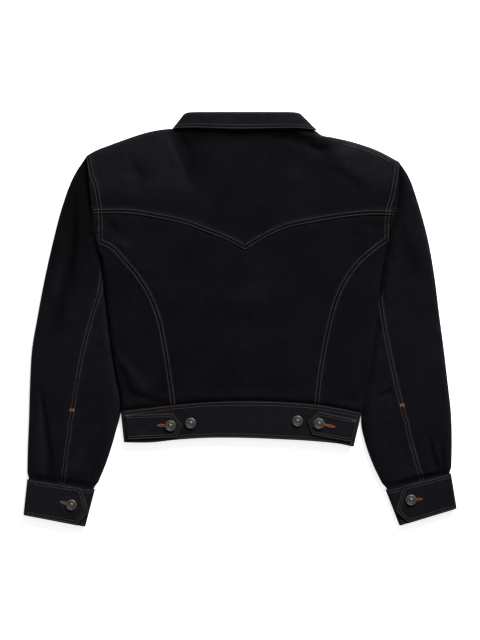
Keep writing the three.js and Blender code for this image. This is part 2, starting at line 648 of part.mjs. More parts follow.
// Waistband: top and bottom edges in plan, rounded at the two side folds
const bandEnds = {
  left: [flat(HEM_SEAM[0]), flat(HEM_EDGE[0])],
  right: [flat(HEM_SEAM.at(-1)), flat(HEM_EDGE.at(-1))],
};
const bandLines = [bandEnds.left, bandEnds.right];
const bandFold = (point) => (distance(bandLines, point.x, point.y) < SNAP * 2 ? true : null);

function bandTop(x, y) {
  const tip = TIP + GAP / 2;
  return tip + (HEM_HIGH - tip) * rounded(distance(bandLines, x, y) / ROLL);
}

function bandUnder(x, y, raised) {
  const tip = TIP - GAP / 2;
  return tip + (placketLift(x, raised) - tip) * rounded(distance(bandLines, x, y) / UNDER_ROLL);
}

function bandPatch(from, to) {
  return drawnIn(patch((s) => along(hemSeam, mix(from, to, s)), (s) => along(hemEdge, mix(from, to, s)),
    (t) => along(hemSeam, from).lerp(along(hemEdge, from), t), (t) => along(hemSeam, to).lerp(along(hemEdge, to), t)),
  [0, 0, 1, 0]);
}

function makeBackBand() {
  const wide = hemSeam.getLength();
  const start = shares(wide / 2, 8).map((share) => share / 2);
  const columns = [...start, ...start.slice(0, -1).reverse().map((share) => 1 - share)];
  return sewn('waistband_back', spread(bandPatch(0, 1), bandTop, columns, () => even(3)), DOUBLED, DENIM,
    { turned: bandFold, check: [1, 8] });
}

function makeFrontBand(one) {
  const raised = one.name === 'left' ? BUTTON_LIFT : BUTTON_LIFT + BAND_STEP;
  const end = nearestShare(hemSeam, [MIDDLE - one.outward * OVERLAP, -132]);
  const from = one.name === 'left' ? 0 : 1;
  const wide = hemSeam.getLength() * Math.abs(end - from);
  const passed = (reach) => Math.abs(nearestShare(hemSeam, [MIDDLE + one.outward * reach, -132]) - from)
    / Math.abs(end - from);
  const flatFrom = passed(OVERLAP + 4);
  const columns = [...shares(wide, 9).map((share) => share * passed(OVERLAP + 22)), flatFrom, 1];
  return sewn(`waistband_front_${one.name}`,
    spread(bandPatch(from, end), (x, y) => bandUnder(x, y, raised), columns, () => even(2)), DOUBLED, DENIM,
    { turned: bandFold, faces: -1, check: [1, 6] });
}

function makeTab(one) {
  const [topOuter, bottomOuter, topCorner, point, bottomCorner] = TAB[one.name].map(flat);
  const pointed = (t) => (t < 0.5 ? topCorner.clone().lerp(point, 2 * t) : point.clone().lerp(bottomCorner, 2 * t - 1));
  const surface = patch((s) => topOuter.clone().lerp(topCorner, s), (s) => bottomOuter.clone().lerp(bottomCorner, s),
    (t) => topOuter.clone().lerp(bottomOuter, t), pointed);
  const height = (x, y) => bandTop(x, y) + GAP + DOUBLED;
  const columns = [0, 0.04, 0.1, 0.25, 0.5, 0.75, 1];
  return sewn(`waist_tab_${one.name}`, spread(surface, height, columns, () => even(4)), DOUBLED, DENIM);
}

// Collar: the fall comes from the fold down over the stand, and the stand goes down inside to the neck
function collarPoint(part, place, p) {
  const fall = part === 'edge';
  const fold = collarAt('fold', place);
  const end = collarAt(part, place);
  const out = collarOut(place).multiplyScalar(fall ? 1 : -1);
  const length = fold.distanceTo(end);
  const rise = (fall ? FALL_RISE : STAND_RISE) * rounded((p * length) / COLLAR_ROLL) * (1 - p);
  const point = fold.clone().lerp(end, p).addScaledVector(out, rise + (GAP / 2) * (1 - p));
  return point.setZ(Math.max(point.z, 0));
}

function makeCollarPart(name, part) {
  const places = [...COLLAR_STEPS.slice(1).reverse().map((step) => -step), ...COLLAR_STEPS];
  const length = 27;
  const fall = part === 'edge';
  const near = [0, 0.6, 2.4, 5];
  const rows = shares(length, fall ? 3 : 2, near);
  const trim = fall ? 0 : GAP / 2 / 20;
  const grid = rows.map((p) => places.map((place) => collarPoint(part, place, p * (1 - trim))));
  const crest = (point, j, i) => {
    if (j > 0) return null;
    const middle = collarAt('edge', places[i]).lerp(collarAt('seam', places[i]), 0.5);
    return collarAt('fold', places[i]).sub(middle).setZ(0);
  };
  return sewn(name, grid, fall ? DOUBLED : STAND, DENIM,
    { turned: crest, faces: fall ? 1 : -1, check: [4, COLLAR_STEPS.length - 1] });
}

// A turned metal button with a sunk ring and a raised centre
function makeButton(name, x, y, z, down = false) {
  const outline = [new THREE.Vector2(0, 0), ...BUTTON_PROFILE.map(([r, h]) => new THREE.Vector2(r, h)),
    new THREE.Vector2(0, BUTTON_PROFILE.at(-1)[1] + 0.2)];
  const geometry = new THREE.LatheGeometry(outline, BUTTON_SIDES);
  geometry.rotateX(Math.PI / 2);
  if (down) geometry.rotateX(Math.PI);
  const mesh = new THREE.Mesh(geometry, new THREE.MeshStandardMaterial(METAL));
  mesh.name = name;
  mesh.position.set(x, y, z);
  return mesh;
}

// The jacket
const jacket = new THREE.Group();
jacket.add(makeYoke(), makeBackCentre());
for (const one of Object.values(side)) {
  jacket.add(makeBackSide(one), makeFront(one), makeUpperSleeve(one), makeUnderSleeve(one), makeCuff(one));
  jacket.add(makeFrontBand(one), makeTab(one));
}
jacket.add(makeBackBand());
jacket.add(makeCollarPart('collar_fall', 'edge'), makeCollarPart('collar_stand', 'seam'));
for (const [name, { at, onTab }] of Object.entries(WAIST_BUTTONS)) {
  jacket.add(makeButton(name, at[0], at[1], HEM_HIGH + GAP + (onTab ? DOUBLED + GAP : 0)));
}
for (const [name, [x, y]] of Object.entries(CUFF_BUTTONS)) {
  jacket.add(makeButton(name, x, y, CUFF_HIGH + GAP));
}
FRONT_BUTTONS_Y.forEach((y, i) => {
  jacket.add(makeButton(`button_front_${i + 1}`, MIDDLE, y, BUTTON_LIFT - GAP, true));
});

export default jacket;
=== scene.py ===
"""A cropped denim jacket, laid flat on its front with its back up and its collar folded.

Each cloth piece is a thin shell on the form of its solid, with felled seams, creases and puckers.
Topstitching, bar tacks and buttonholes are sewn in real thread, and the buttons are turned metal.
Sizes are in millimetres, as in the solids, and meshes are made in metres.
"""

import logging
import math
from dataclasses import dataclass
from enum import Enum
from typing import Callable, Optional, Sequence, Union

import bpy
import numpy as np
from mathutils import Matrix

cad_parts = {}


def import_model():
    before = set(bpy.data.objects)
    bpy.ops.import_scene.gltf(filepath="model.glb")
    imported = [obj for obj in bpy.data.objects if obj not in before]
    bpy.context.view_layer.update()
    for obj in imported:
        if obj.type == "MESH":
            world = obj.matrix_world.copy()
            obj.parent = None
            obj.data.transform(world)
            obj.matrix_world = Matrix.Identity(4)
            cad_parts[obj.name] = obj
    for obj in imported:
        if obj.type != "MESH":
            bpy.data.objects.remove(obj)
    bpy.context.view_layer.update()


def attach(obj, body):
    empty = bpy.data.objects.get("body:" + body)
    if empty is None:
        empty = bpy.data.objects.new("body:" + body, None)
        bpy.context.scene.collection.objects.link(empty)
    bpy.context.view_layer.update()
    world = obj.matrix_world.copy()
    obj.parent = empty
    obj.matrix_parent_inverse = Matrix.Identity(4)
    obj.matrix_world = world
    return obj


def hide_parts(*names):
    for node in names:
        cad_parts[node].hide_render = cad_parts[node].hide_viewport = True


LOG = logging.getLogger("jacket")
MM = 0.001
PIXEL = 1.6 * MM

# Thickness of the cloth when single, doubled and in the collar's stand, and the gap between two pieces
CLOTH = 1.2
DOUBLED = 2.0
STAND = 1.4
GAP = 0.3

# Heights above the floor of the body, its hem, the cuffs and a folded edge
BODY_HIGH = 12.5
HEM_HIGH = 11.5
CUFF_HIGH = 11.5
TIP = 6.5

# Rounding of a folded edge above and underneath, and distances that count as on an edge and as far from it
ROLL = 9.0
UNDER_ROLL = 7.0
SNAP = 0.06
FAR = 99.0

# Where a sleeve's lower seam runs, as a share of its width
FORE_SEAM = 0.5

# Closing underneath: its place on the hem, half its overlap, room for buttons, and the steps of its layers
MIDDLE = 4.0
HEM_Y = -132.0
OVERLAP = 22.0
BUTTON_LIFT = 3.2
STEP = 1.5
BAND_STEP = 2.3

# Room under the fronts for the collar's folded leaves
LEAF_LIFT = 2.6
LEAF_LOW = 176.0
LEAF_WIDE = 125.0

# Distances from an edge at which a mesh has its closest rows
FOLD_ROWS = (0, 0.12, 0.45, 1.0, 1.8, 2.9, 4.3, 6.0, 7.6, 9.4)
SEAM_ROWS = (0, 1.3, 2.6, 3.5, 4.1, 4.7, 5.6, 7.2, 9.4)
RIM_ROWS = (0, 0.25, 0.6, 1.1, 1.8, 3.0)
HEM_ROWS = (0, 0.8, 1.8, 3.2, 5.0, 7.2, 9.6)

# Depth of the groove that a row of stitches pulls, and its width
GROOVE = 0.34
GROOVE_WIDE = 0.9

# How many points are compared with a line at once
BLOCK = 4000

Number = Union[float, np.ndarray]
Table = Sequence[Sequence[float]]
Height = Callable[[np.ndarray, np.ndarray], np.ndarray]
Socket = Union[float, bpy.types.NodeSocket]


class Hand(Enum):
    """The two sides of the jacket, as seen in the photograph."""

    LEFT = "left"
    RIGHT = "right"

    @property
    def outward(self) -> int:
        """Direction along x that points away from the middle."""
        return -1 if self is Hand.LEFT else 1

    @property
    def hem_end(self) -> int:
        """Share of the hem at which this side lies."""
        return 0 if self is Hand.LEFT else 1


# Outline and seams of the body, each row an x and a y
SHOULDER = {
    Hand.LEFT: [(-100.5, 305.6), (-122, 304.2), (-150, 299), (-206.4, 279.8), (-232, 269.8), (-245.5, 262)],
    Hand.RIGHT: [(110.5, 305.6), (121.5, 301.5), (130, 295), (150.4, 290.8), (180.8, 283.8), (219, 270.8),
                 (255, 252)],
}
ARMHOLE = {
    Hand.LEFT: [(-245.5, 262), (-240.5, 211.2), (-237, 172.8), (-230, 126.4), (-222.4, 100.8)],
    Hand.RIGHT: [(255, 252), (253, 206.4), (249.3, 169.6), (241, 146), (236.8, 129.6), (232, 100.8)],
}
SIDE_FOLD = {
    Hand.LEFT: [(-222.4, 100.8), (-219.2, 65.6), (-214.4, 14.4), (-201.6, -78.4), (-192.8, -121.6),
                (-191.6, -147.2)],
    Hand.RIGHT: [(232, 100.8), (225.6, 62.4), (221.6, 19.2), (205.6, -94.4), (198.4, -126.4),
                 (194.9, -150.4)],
}
HEM_SEAM = [(-191.6, -147.2), (-147.2, -142.4), (-107.2, -137.6), (-52.8, -132.8), (8, -131.2),
            (68.8, -132.8), (121.6, -136.8), (160, -143.2), (194.9, -150.4)]
HEM_EDGE = [(-186, -197.6), (-142.4, -197.6), (-104, -193.6), (-52.8, -190.4), (8, -190.4),
            (68.8, -192.8), (112, -195.2), (160, -200), (182.4, -204.8)]
YOKE_SEAM = {
    Hand.LEFT: [(-237, 172.8), (-176, 172.4), (-128, 164.8), (-88, 156), (-51.2, 142.4), (-19.2, 129.6),
                (8, 115.2)],
    Hand.RIGHT: [(8, 115.2), (35.2, 132), (72, 148.8), (115.2, 158.4), (168, 167.2), (216, 171.2),
                 (249.3, 169.6)],
}
SIDE_SEAM = {
    Hand.LEFT: [(-230, 126.4), (-205.4, 115.2), (-188.2, 97.6), (-165.1, 70.4), (-145.9, 40), (-130.6, 1.6),
                (-121, -43.2), (-113.3, -91.2), (-107.2, -137.6)],
    Hand.RIGHT: [(236.8, 129.6), (213.6, 112), (187.2, 88), (164.8, 55.2), (150.4, 20.8), (139.2, -25.6),
                 (129.6, -76.8), (122.4, -137)],
}

# Middle of the two rows sewn round each armhole, down to the side seam that they turn into
ARMHOLE_ROWS = {
    Hand.LEFT: [(-242.4, 259), (-238.1, 235.2), (-230.4, 211.2), (-226, 188), (-223.7, 166), (-223, 146),
                (-223.2, 124)],
    Hand.RIGHT: [(251.6, 249), (248.2, 222.4), (245.2, 205.4), (241.2, 189.3), (238.3, 179.7), (236.2, 168),
                 (234.6, 153.1), (234.6, 126)],
}

# How far the inner fold of a sleeve lies under the body's edge, by share of the sleeve's length
TUCK_AT = (0, 0.05, 0.1, 0.6, 0.7, 0.76, 0.82)
TUCK = (0, 2.8, 3.4, 3.4, 3.4, 2.6, 0)
TUCK_TIP = 4.5
TUCK_ROLL = 14.0

# Height and rounding of the edges at the armpits, and how far round them that reaches
ARMPIT_TIP = 8.6
ARMPIT_ROLL = 4.0
ARMPIT_REACH = 15.0

# Sleeve sections down to the cuff: both folds, height, and how far the hind seam is from the inner fold
SLEEVE = {
    Hand.LEFT: [
        ((-245.5, 262), (-222.4, 100.8), 12.5, 3),
        ((-266.8, 228.5), (-221.8, 84), 12.5, 3),
        ((-285.4, 179), (-220.2, 65.6), 13, 5.5),
        ((-299.2, 126.4), (-217, 30.4), 13, 14.5),
        ((-313.6, 62.4), (-212.8, -9.6), 13, 29),
        ((-325, 1.6), (-206.8, -52.8), 12.5, 45),
        ((-333.6, -49.6), (-199.8, -94.4), 12.5, 60),
        ((-336.8, -105.6), (-193.8, -132.8), 12.5, 72),
        ((-338.4, -161.6), (-196.8, -169.6), 12.5, 75),
        ((-340.4, -209.6), (-211.4, -222.4), 12, 67.7),
        ((-341.4, -260.8), (-233.5, -277), 11.5, 52),
    ],
    Hand.RIGHT: [
        ((255, 252), (232, 100.8), 12.5, 3),
        ((271, 227), (230.4, 81.6), 12.5, 2.5),
        ((286.8, 182), (226.6, 56), 13, 2.5),
        ((301, 129.6), (223.4, 24), 13, 6),
        ((311.6, 70.4), (217.9, -17.6), 13, 18),
        ((319, 11.2), (212, -59.2), 12.5, 30),
        ((326.4, -44.8), (205.6, -100.8), 12.5, 43.6),
        ((333, -100.8), (198.8, -138.5), 12.5, 58),
        ((338.6, -153.6), (197, -181), 12.5, 71.6),
        ((339.8, -201.6), (211.2, -228.8), 12, 69),
        ((338.6, -251.2), (234.8, -277.4), 11.5, 60),
    ],
}

# Where the hind seam's rows come out from under the body, and the bar tack above each cuff
HIND_ROWS_FROM = {Hand.LEFT: 0.19, Hand.RIGHT: 0.28}
SLEEVE_TACK = {Hand.LEFT: (-268.8, -145.6), Hand.RIGHT: (259.2, -138.1)}

# How much a crease of 1 mm shifts the cloth's colour: painted shade in a trough and a painted highlight on a
# ridge
CREASE_PAINTED_LIGHT = 0.13

# Creases, each from one end to the other, with its width and depth; ridges are positive
CREASES = [
    ((-116, 306), (-92, 240), 9, 1.1), ((-101, 304), (-78, 236), 8, -1.6),
    ((50, 290), (100, 285), 7, -2.2), ((104, 283), (142, 268), 7, -2.8),
    ((84, 300), (126, 295), 5, 2.4), ((150, 268), (186, 262), 12, 1.6),
    ((-206, -56), (-168, -132), 6, -1.3), ((-196, -50), (-150, -128), 9, 1.5),
    ((-180, -120), (-112, -134), 6, -1.8), ((156, -128), (182, -134), 6, -1.2),
    ((10, 100), (-24, 44), 14, -0.9), ((-40, 60), (60, 36), 22, 0.8),
    ((-218, 158), (-190, 138), 7, -1.8), ((194, 158), (226, 138), 7, -1.6),
    ((-208, 128), (-176, 108), 7, 1.2), ((-264, 200), (-277, 40), 6, -3.2),
    ((-274, 96), (-292, -24), 7, -2.6), ((-284, 176), (-300, 30), 9, 1.8),
    ((-172, 262), (-150, 214), 9, -1.5), ((150, 244), (196, 200), 10, -1.5),
    ((-186, 236), (-166, 196), 10, 0.8), ((-316, -110), (-304, -248), 4.5, -2.4),
    ((-325, -120), (-314, -250), 8, 1.6), ((-256, -196), (-262, -250), 10, 1.4),
    ((306, -190), (314, -246), 3.5, -2.0), ((321, -200), (325, -248), 3.5, -1.8),
    ((218, -121), (245, -118), 4, -1.8), ((262, 160), (278, 56), 11, -1.6),
]


def mix(a: Number, b: Number, share: Number) -> Number:
    """Value between a and b at a share of the way."""
    return a + (b - a) * share


def smooth(x: Number, low: float, high: float) -> Number:
    """Soft step from 0 at low to 1 at high, where high may be the smaller."""
    share = np.clip((x - low) / (high - low), 0, 1)
    return share * share * (3 - 2 * share)


def rounded(q: Number) -> Number:
    """Quarter round: 0 at an edge, 1 from q = 1 on."""
    return np.sqrt(np.clip(1 - (1 - np.clip(q, 0, 1)) ** 2, 0, 1))


def bell(x: Number, wide: Number) -> Number:
    """Soft bump of height 1 round 0."""
    return np.exp(-((x / wide) ** 2))


def ripple(x: Number, y: Number, size: float, seed: float) -> Number:
    """Smooth noise from -1 to 1 over a plane.

    Args:
        x, y: where to read it.
        size: distance over which it changes.
        seed: which of the noises to read.

    Returns:
        The noise, of the shape of x.
    """
    u, v = x / size, y / size
    iu, iv = np.floor(u), np.floor(v)
    fu, fv = smooth(u - iu, 0, 1), smooth(v - iv, 0, 1)

    def corner(a: Number, b: Number) -> Number:
        """Fixed value at a lattice point."""
        h = np.sin(a * 127.1 + b * 311.7 + seed * 74.7) * 43758.5453
        return 2 * (h - np.floor(h)) - 1

    low = mix(corner(iu, iv), corner(iu + 1, iv), fu)
    high = mix(corner(iu, iv + 1), corner(iu + 1, iv + 1), fu)
    return mix(low, high, fv)


def slack(x: Number, y: Number, *layers: tuple[float, float, float]) -> Number:
    """Unevenness of slack cloth: ripples of some depths, sizes and seeds, laid over each other."""
    return sum(deep * ripple(x, y, size, seed) for deep, size, seed in layers)


def grooves(distance: np.ndarray, rows: Sequence[float]) -> np.ndarray:
    """Grooves of depth 1 along rows of stitches at those distances from an edge."""
    return sum(bell(distance - row, 0.8) for row in rows)


def lifted(plan: np.ndarray, height: np.ndarray) -> np.ndarray:
    """Points in plan, put at those heights."""
    return np.concatenate([plan, height[..., None]], -1)


def unit(vectors: np.ndarray) -> np.ndarray:
    """Vectors brought to length 1."""
    return vectors / np.maximum(np.linalg.norm(vectors, axis=-1, keepdims=True), 1e-12)


class Curve:
    """Smooth curve through points, read by share of its points or of its length."""

    DIVISIONS = 200

    def __init__(self, points: Table) -> None:
        """Keeps the points, with one more beyond each end, and measures the curve.

        Args:
            points: the points that it passes, in order.
        """
        inside = np.array(points, float)
        first = 2 * inside[0] - inside[1]
        last = 2 * inside[-1] - inside[-2]
        self.points = np.concatenate([[first], inside, [last]])
        self.count = len(inside)
        self.shares = np.linspace(0, 1, self.DIVISIONS + 1)
        runs = np.linalg.norm(np.diff(self.at(self.shares), axis=0), axis=1)
        self.lengths = np.concatenate([[0], np.cumsum(runs)])

    @property
    def length(self) -> float:
        """Length of the whole curve."""
        return float(self.lengths[-1])

    def at(self, share: Number) -> np.ndarray:
        """Points at shares of the way, counted in the curve's own points."""
        position = np.clip(np.asarray(share, float), 0, 1) * (self.count - 1)
        index = np.minimum(np.floor(position).astype(int), self.count - 2)
        weight = (position - index)[..., None]
        p0, p1, p2, p3 = (self.points[index + k] for k in range(4))
        middle = self._pace(p1, p2, 1.0)
        before = self._pace(p0, p1, middle)
        after = self._pace(p2, p3, middle)
        start = ((p1 - p0) / before - (p2 - p0) / (before + middle) + (p2 - p1) / middle) * middle
        end = ((p2 - p1) / middle - (p3 - p1) / (middle + after) + (p3 - p2) / after) * middle
        square = -3 * p1 + 3 * p2 - 2 * start - end
        cube = 2 * p1 - 2 * p2 + start + end
        return p1 + weight * (start + weight * (square + weight * cube))

    @staticmethod
    def _pace(a: np.ndarray, b: np.ndarray, spare: Number) -> np.ndarray:
        """Pace of the curve between two of its points."""
        pace = np.sqrt(np.linalg.norm(b - a, axis=-1, keepdims=True))
        return np.where(pace < 1e-4, spare, pace)

    def along(self, share: Number) -> np.ndarray:
        """Points at shares of the curve's length."""
        run = np.clip(np.asarray(share, float), 0, 1) * self.length
        return self.at(np.interp(run, self.lengths, self.shares))

    def line(self, count: int = 100) -> np.ndarray:
        """The curve as a polyline of that many steps."""
        return self.at(np.linspace(0, 1, count + 1))

    def nearest(self, x: float, y: float) -> float:
        """Share of the length at which the curve passes closest to a point."""
        shares = np.linspace(0, 1, 401)
        gaps = np.linalg.norm(self.along(shares) - (x, y), axis=1)
        return float(shares[np.argmin(gaps)])


def nearest_on(line: np.ndarray, x: np.ndarray, y: np.ndarray) -> tuple[np.ndarray, np.ndarray]:
    """Distance from points to a polyline, positive on the left of its run, and the run length there.

    Args:
        line: the polyline's points in plan.
        x, y: the points, of any shape.

    Returns:
        The signed distance and the run length, of the shape of x.
    """
    start, step = line[:-1], np.diff(line, axis=0)
    squares = (step ** 2).sum(1)
    runs = np.concatenate([[0], np.cumsum(np.sqrt(squares))])
    points = np.stack([x.ravel(), y.ravel()], -1)
    distance = np.empty(len(points))
    run = np.empty(len(points))
    for low in range(0, len(points), BLOCK):
        part = slice(low, low + BLOCK)
        to = points[part, None] - start[None]
        share = np.clip((to * step).sum(-1) / squares, 0, 1)
        off = to - share[..., None] * step
        apart = (off ** 2).sum(-1)
        best = apart.argmin(1)
        rows = np.arange(len(best))
        side = step[best, 0] * off[rows, best, 1] - step[best, 1] * off[rows, best, 0]
        distance[part] = np.copysign(np.sqrt(apart[rows, best]), side)
        run[part] = runs[best] + share[rows, best] * np.sqrt(squares[best])
    return distance.reshape(x.shape), run.reshape(x.shape)


def clear_of(lines: Sequence[np.ndarray], x: np.ndarray, y: np.ndarray) -> np.ndarray:
    """Distance in plan from points to the nearest of some polylines."""
    nearest = np.min([np.abs(nearest_on(line, x, y)[0]) for line in lines], axis=0)
    return np.where(nearest < SNAP, 0, nearest)


def creases(x: np.ndarray, y: np.ndarray) -> np.ndarray:
    """How much the creases lift or sink the cloth."""
    lift = np.zeros_like(x)
    for (ax, ay), (bx, by), wide, deep in CREASES:
        dx, dy = bx - ax, by - ay
        along = ((x - ax) * dx + (y - ay) * dy) / (dx * dx + dy * dy)
        near = np.clip(along, 0, 1)
        sway = wide * 0.5 * np.sin(3.1 * near + ax)
        off = ((x - ax) * dy - (y - ay) * dx) / math.hypot(dx, dy) + sway
        fading = smooth(along, -0.15, 0.4) * smooth(along, 1.15, 0.75)
        lift += deep * bell(off, wide * (0.6 + 0.8 * near)) * fading
    return lift


def armpit(x: np.ndarray, y: np.ndarray) -> np.ndarray:
    """Nearness to an armpit, where body and sleeve lie against each other: 1 at it and 0 well away."""
    ends = [ARMHOLE[hand][-1] for hand in Hand]
    return np.maximum(*(bell(np.hypot(x - ax, y - ay), ARMPIT_REACH) for ax, ay in ends))


@dataclass(frozen=True)
class Fell:
    """A felled seam: one piece folded over the other, sewn with two rows that pull the cloth in."""

    line: np.ndarray
    rise: float = 0.7
    half: float = 4.2
    rows: float = 2.65
    pucker: float = 0.42
    shade: float = 0.5
    seed: float = 1.0

    def lift(self, x: np.ndarray, y: np.ndarray) -> np.ndarray:
        """Height that the seam adds; its lapped edge is on the right of its run."""
        off, run = nearest_on(self.line, x, y)
        band = smooth(-off, self.half + 0.7, self.half - 0.1) * smooth(off, self.half + 5, self.half)
        groove = bell(np.abs(off) - self.rows, GROOVE_WIDE)
        pull = ripple(run, off * 0.35, 6.5, self.seed) + 0.6 * ripple(run, off * 0.3, 15, self.seed + 5)
        shade = bell(np.maximum(-off - self.half - 0.7, 0), 2.5) * (off < -self.half)
        return self.rise * band - GROOVE * groove - self.shade * shade + self.pucker * pull * bell(off, 9)


@dataclass(frozen=True)
class Steps:
    """Rows of a mesh between two edges: at fixed distances from each edge, and even between them."""

    count: int
    start: Sequence[float] = (0,)
    end: Sequence[float] = (0,)
    halves: bool = False

    def shares(self, length: Number) -> np.ndarray:
        """Shares of each length, one line for each.

        Args:
            length: the lengths.

        Returns:
            An array with a line of shares for each length.
        """
        length = np.atleast_1d(np.asarray(length, float))[:, None]
        first = np.asarray(self.start, float)[None] / length
        last = 1 - np.asarray(self.end, float)[None, ::-1] / length
        if not self.halves:
            return np.concatenate([first, self._between(first, last, self.count), last], 1)
        middle = np.full_like(length, 0.5)
        half = self.count // 2
        return np.concatenate([first, self._between(first, middle, half), middle,
                               self._between(middle, last, half), last], 1)

    @staticmethod
    def _between(first: np.ndarray, last: np.ndarray, count: int) -> np.ndarray:
        """Even shares from the last of the first rows to the first of the last ones, without those two."""
        part = np.linspace(0, 1, count + 1)[None, 1:-1]
        return mix(first[:, -1:], last[:, :1], part)


@dataclass
class Grid:
    """A mesh grid in plan, with the distance of each point from its four edges."""

    plan: np.ndarray
    left: np.ndarray
    right: np.ndarray
    top: np.ndarray
    bottom: np.ndarray

    @property
    def x(self) -> np.ndarray:
        """All x."""
        return self.plan[..., 0]

    @property
    def y(self) -> np.ndarray:
        """All y."""
        return self.plan[..., 1]

    @property
    def rim(self) -> np.ndarray:
        """Distance from the top, bottom and right edges, which are free on a strip."""
        return np.minimum(np.minimum(self.top, self.bottom), self.right)

    def in_columns(self, *columns: int) -> np.ndarray:
        """Which points lie in some columns."""
        inside = np.zeros(self.x.shape, bool)
        inside[:, list(columns)] = True
        return inside


@dataclass(frozen=True)
class Patch:
    """A stretch of plan between four edges, each a function of a share."""

    TYPICAL = 200.0
    LEAST = 22.0

    top: Callable[[np.ndarray], np.ndarray]
    bottom: Callable[[np.ndarray], np.ndarray]
    left: Callable[[np.ndarray], np.ndarray]
    right: Callable[[np.ndarray], np.ndarray]

    def at(self, s: np.ndarray, t: np.ndarray) -> np.ndarray:
        """Points at shares across and down."""
        one, zero = np.ones(()), np.zeros(())
        across = mix(self.top(s), self.bottom(s), t[..., None])
        down = mix(self.left(t), self.right(t), s[..., None])
        upper = mix(self.top(zero), self.top(one), s[..., None])
        lower = mix(self.bottom(zero), self.bottom(one), s[..., None])
        return across + down - mix(upper, lower, t[..., None])

    def grid(self, columns: Steps, rows: Steps) -> Grid:
        """Mesh grid with its columns and rows fitted to the real widths and lengths.

        Args:
            columns: steps from the left edge to the right.
            rows: steps from the top edge to the bottom.

        Returns:
            The grid.
        """
        t0 = rows.shares(self.TYPICAL)[0]
        s0 = columns.shares(self.TYPICAL)[0]
        zeros, ones = np.zeros_like(t0), np.ones_like(t0)
        wide = np.maximum(np.linalg.norm(self.at(ones, t0) - self.at(zeros, t0), axis=-1), self.LEAST)
        zeros, ones = np.zeros_like(s0), np.ones_like(s0)
        tall = np.maximum(np.linalg.norm(self.at(s0, ones) - self.at(s0, zeros), axis=-1), self.LEAST)
        s = columns.shares(wide)
        t = rows.shares(tall).T
        wide, tall = wide[:, None], tall[None, :]
        return Grid(self.at(s, t), s * wide, (1 - s) * wide, t * tall, (1 - t) * tall)


def normals_of(points: np.ndarray) -> np.ndarray:
    """Normals of a grid of points, from their neighbours."""
    padded = np.pad(points, ((1, 1), (1, 1), (0, 0)), mode="edge")
    across = padded[1:-1, 2:] - padded[1:-1, :-2]
    down = padded[2:, 1:-1] - padded[:-2, 1:-1]
    return unit(np.cross(across, down))


def add_object(name: str, data: bpy.types.ID) -> bpy.types.Object:
    """Puts a mesh, a light or a camera into the scene."""
    obj = bpy.data.objects.new(name, data)
    bpy.context.scene.collection.objects.link(obj)
    return obj


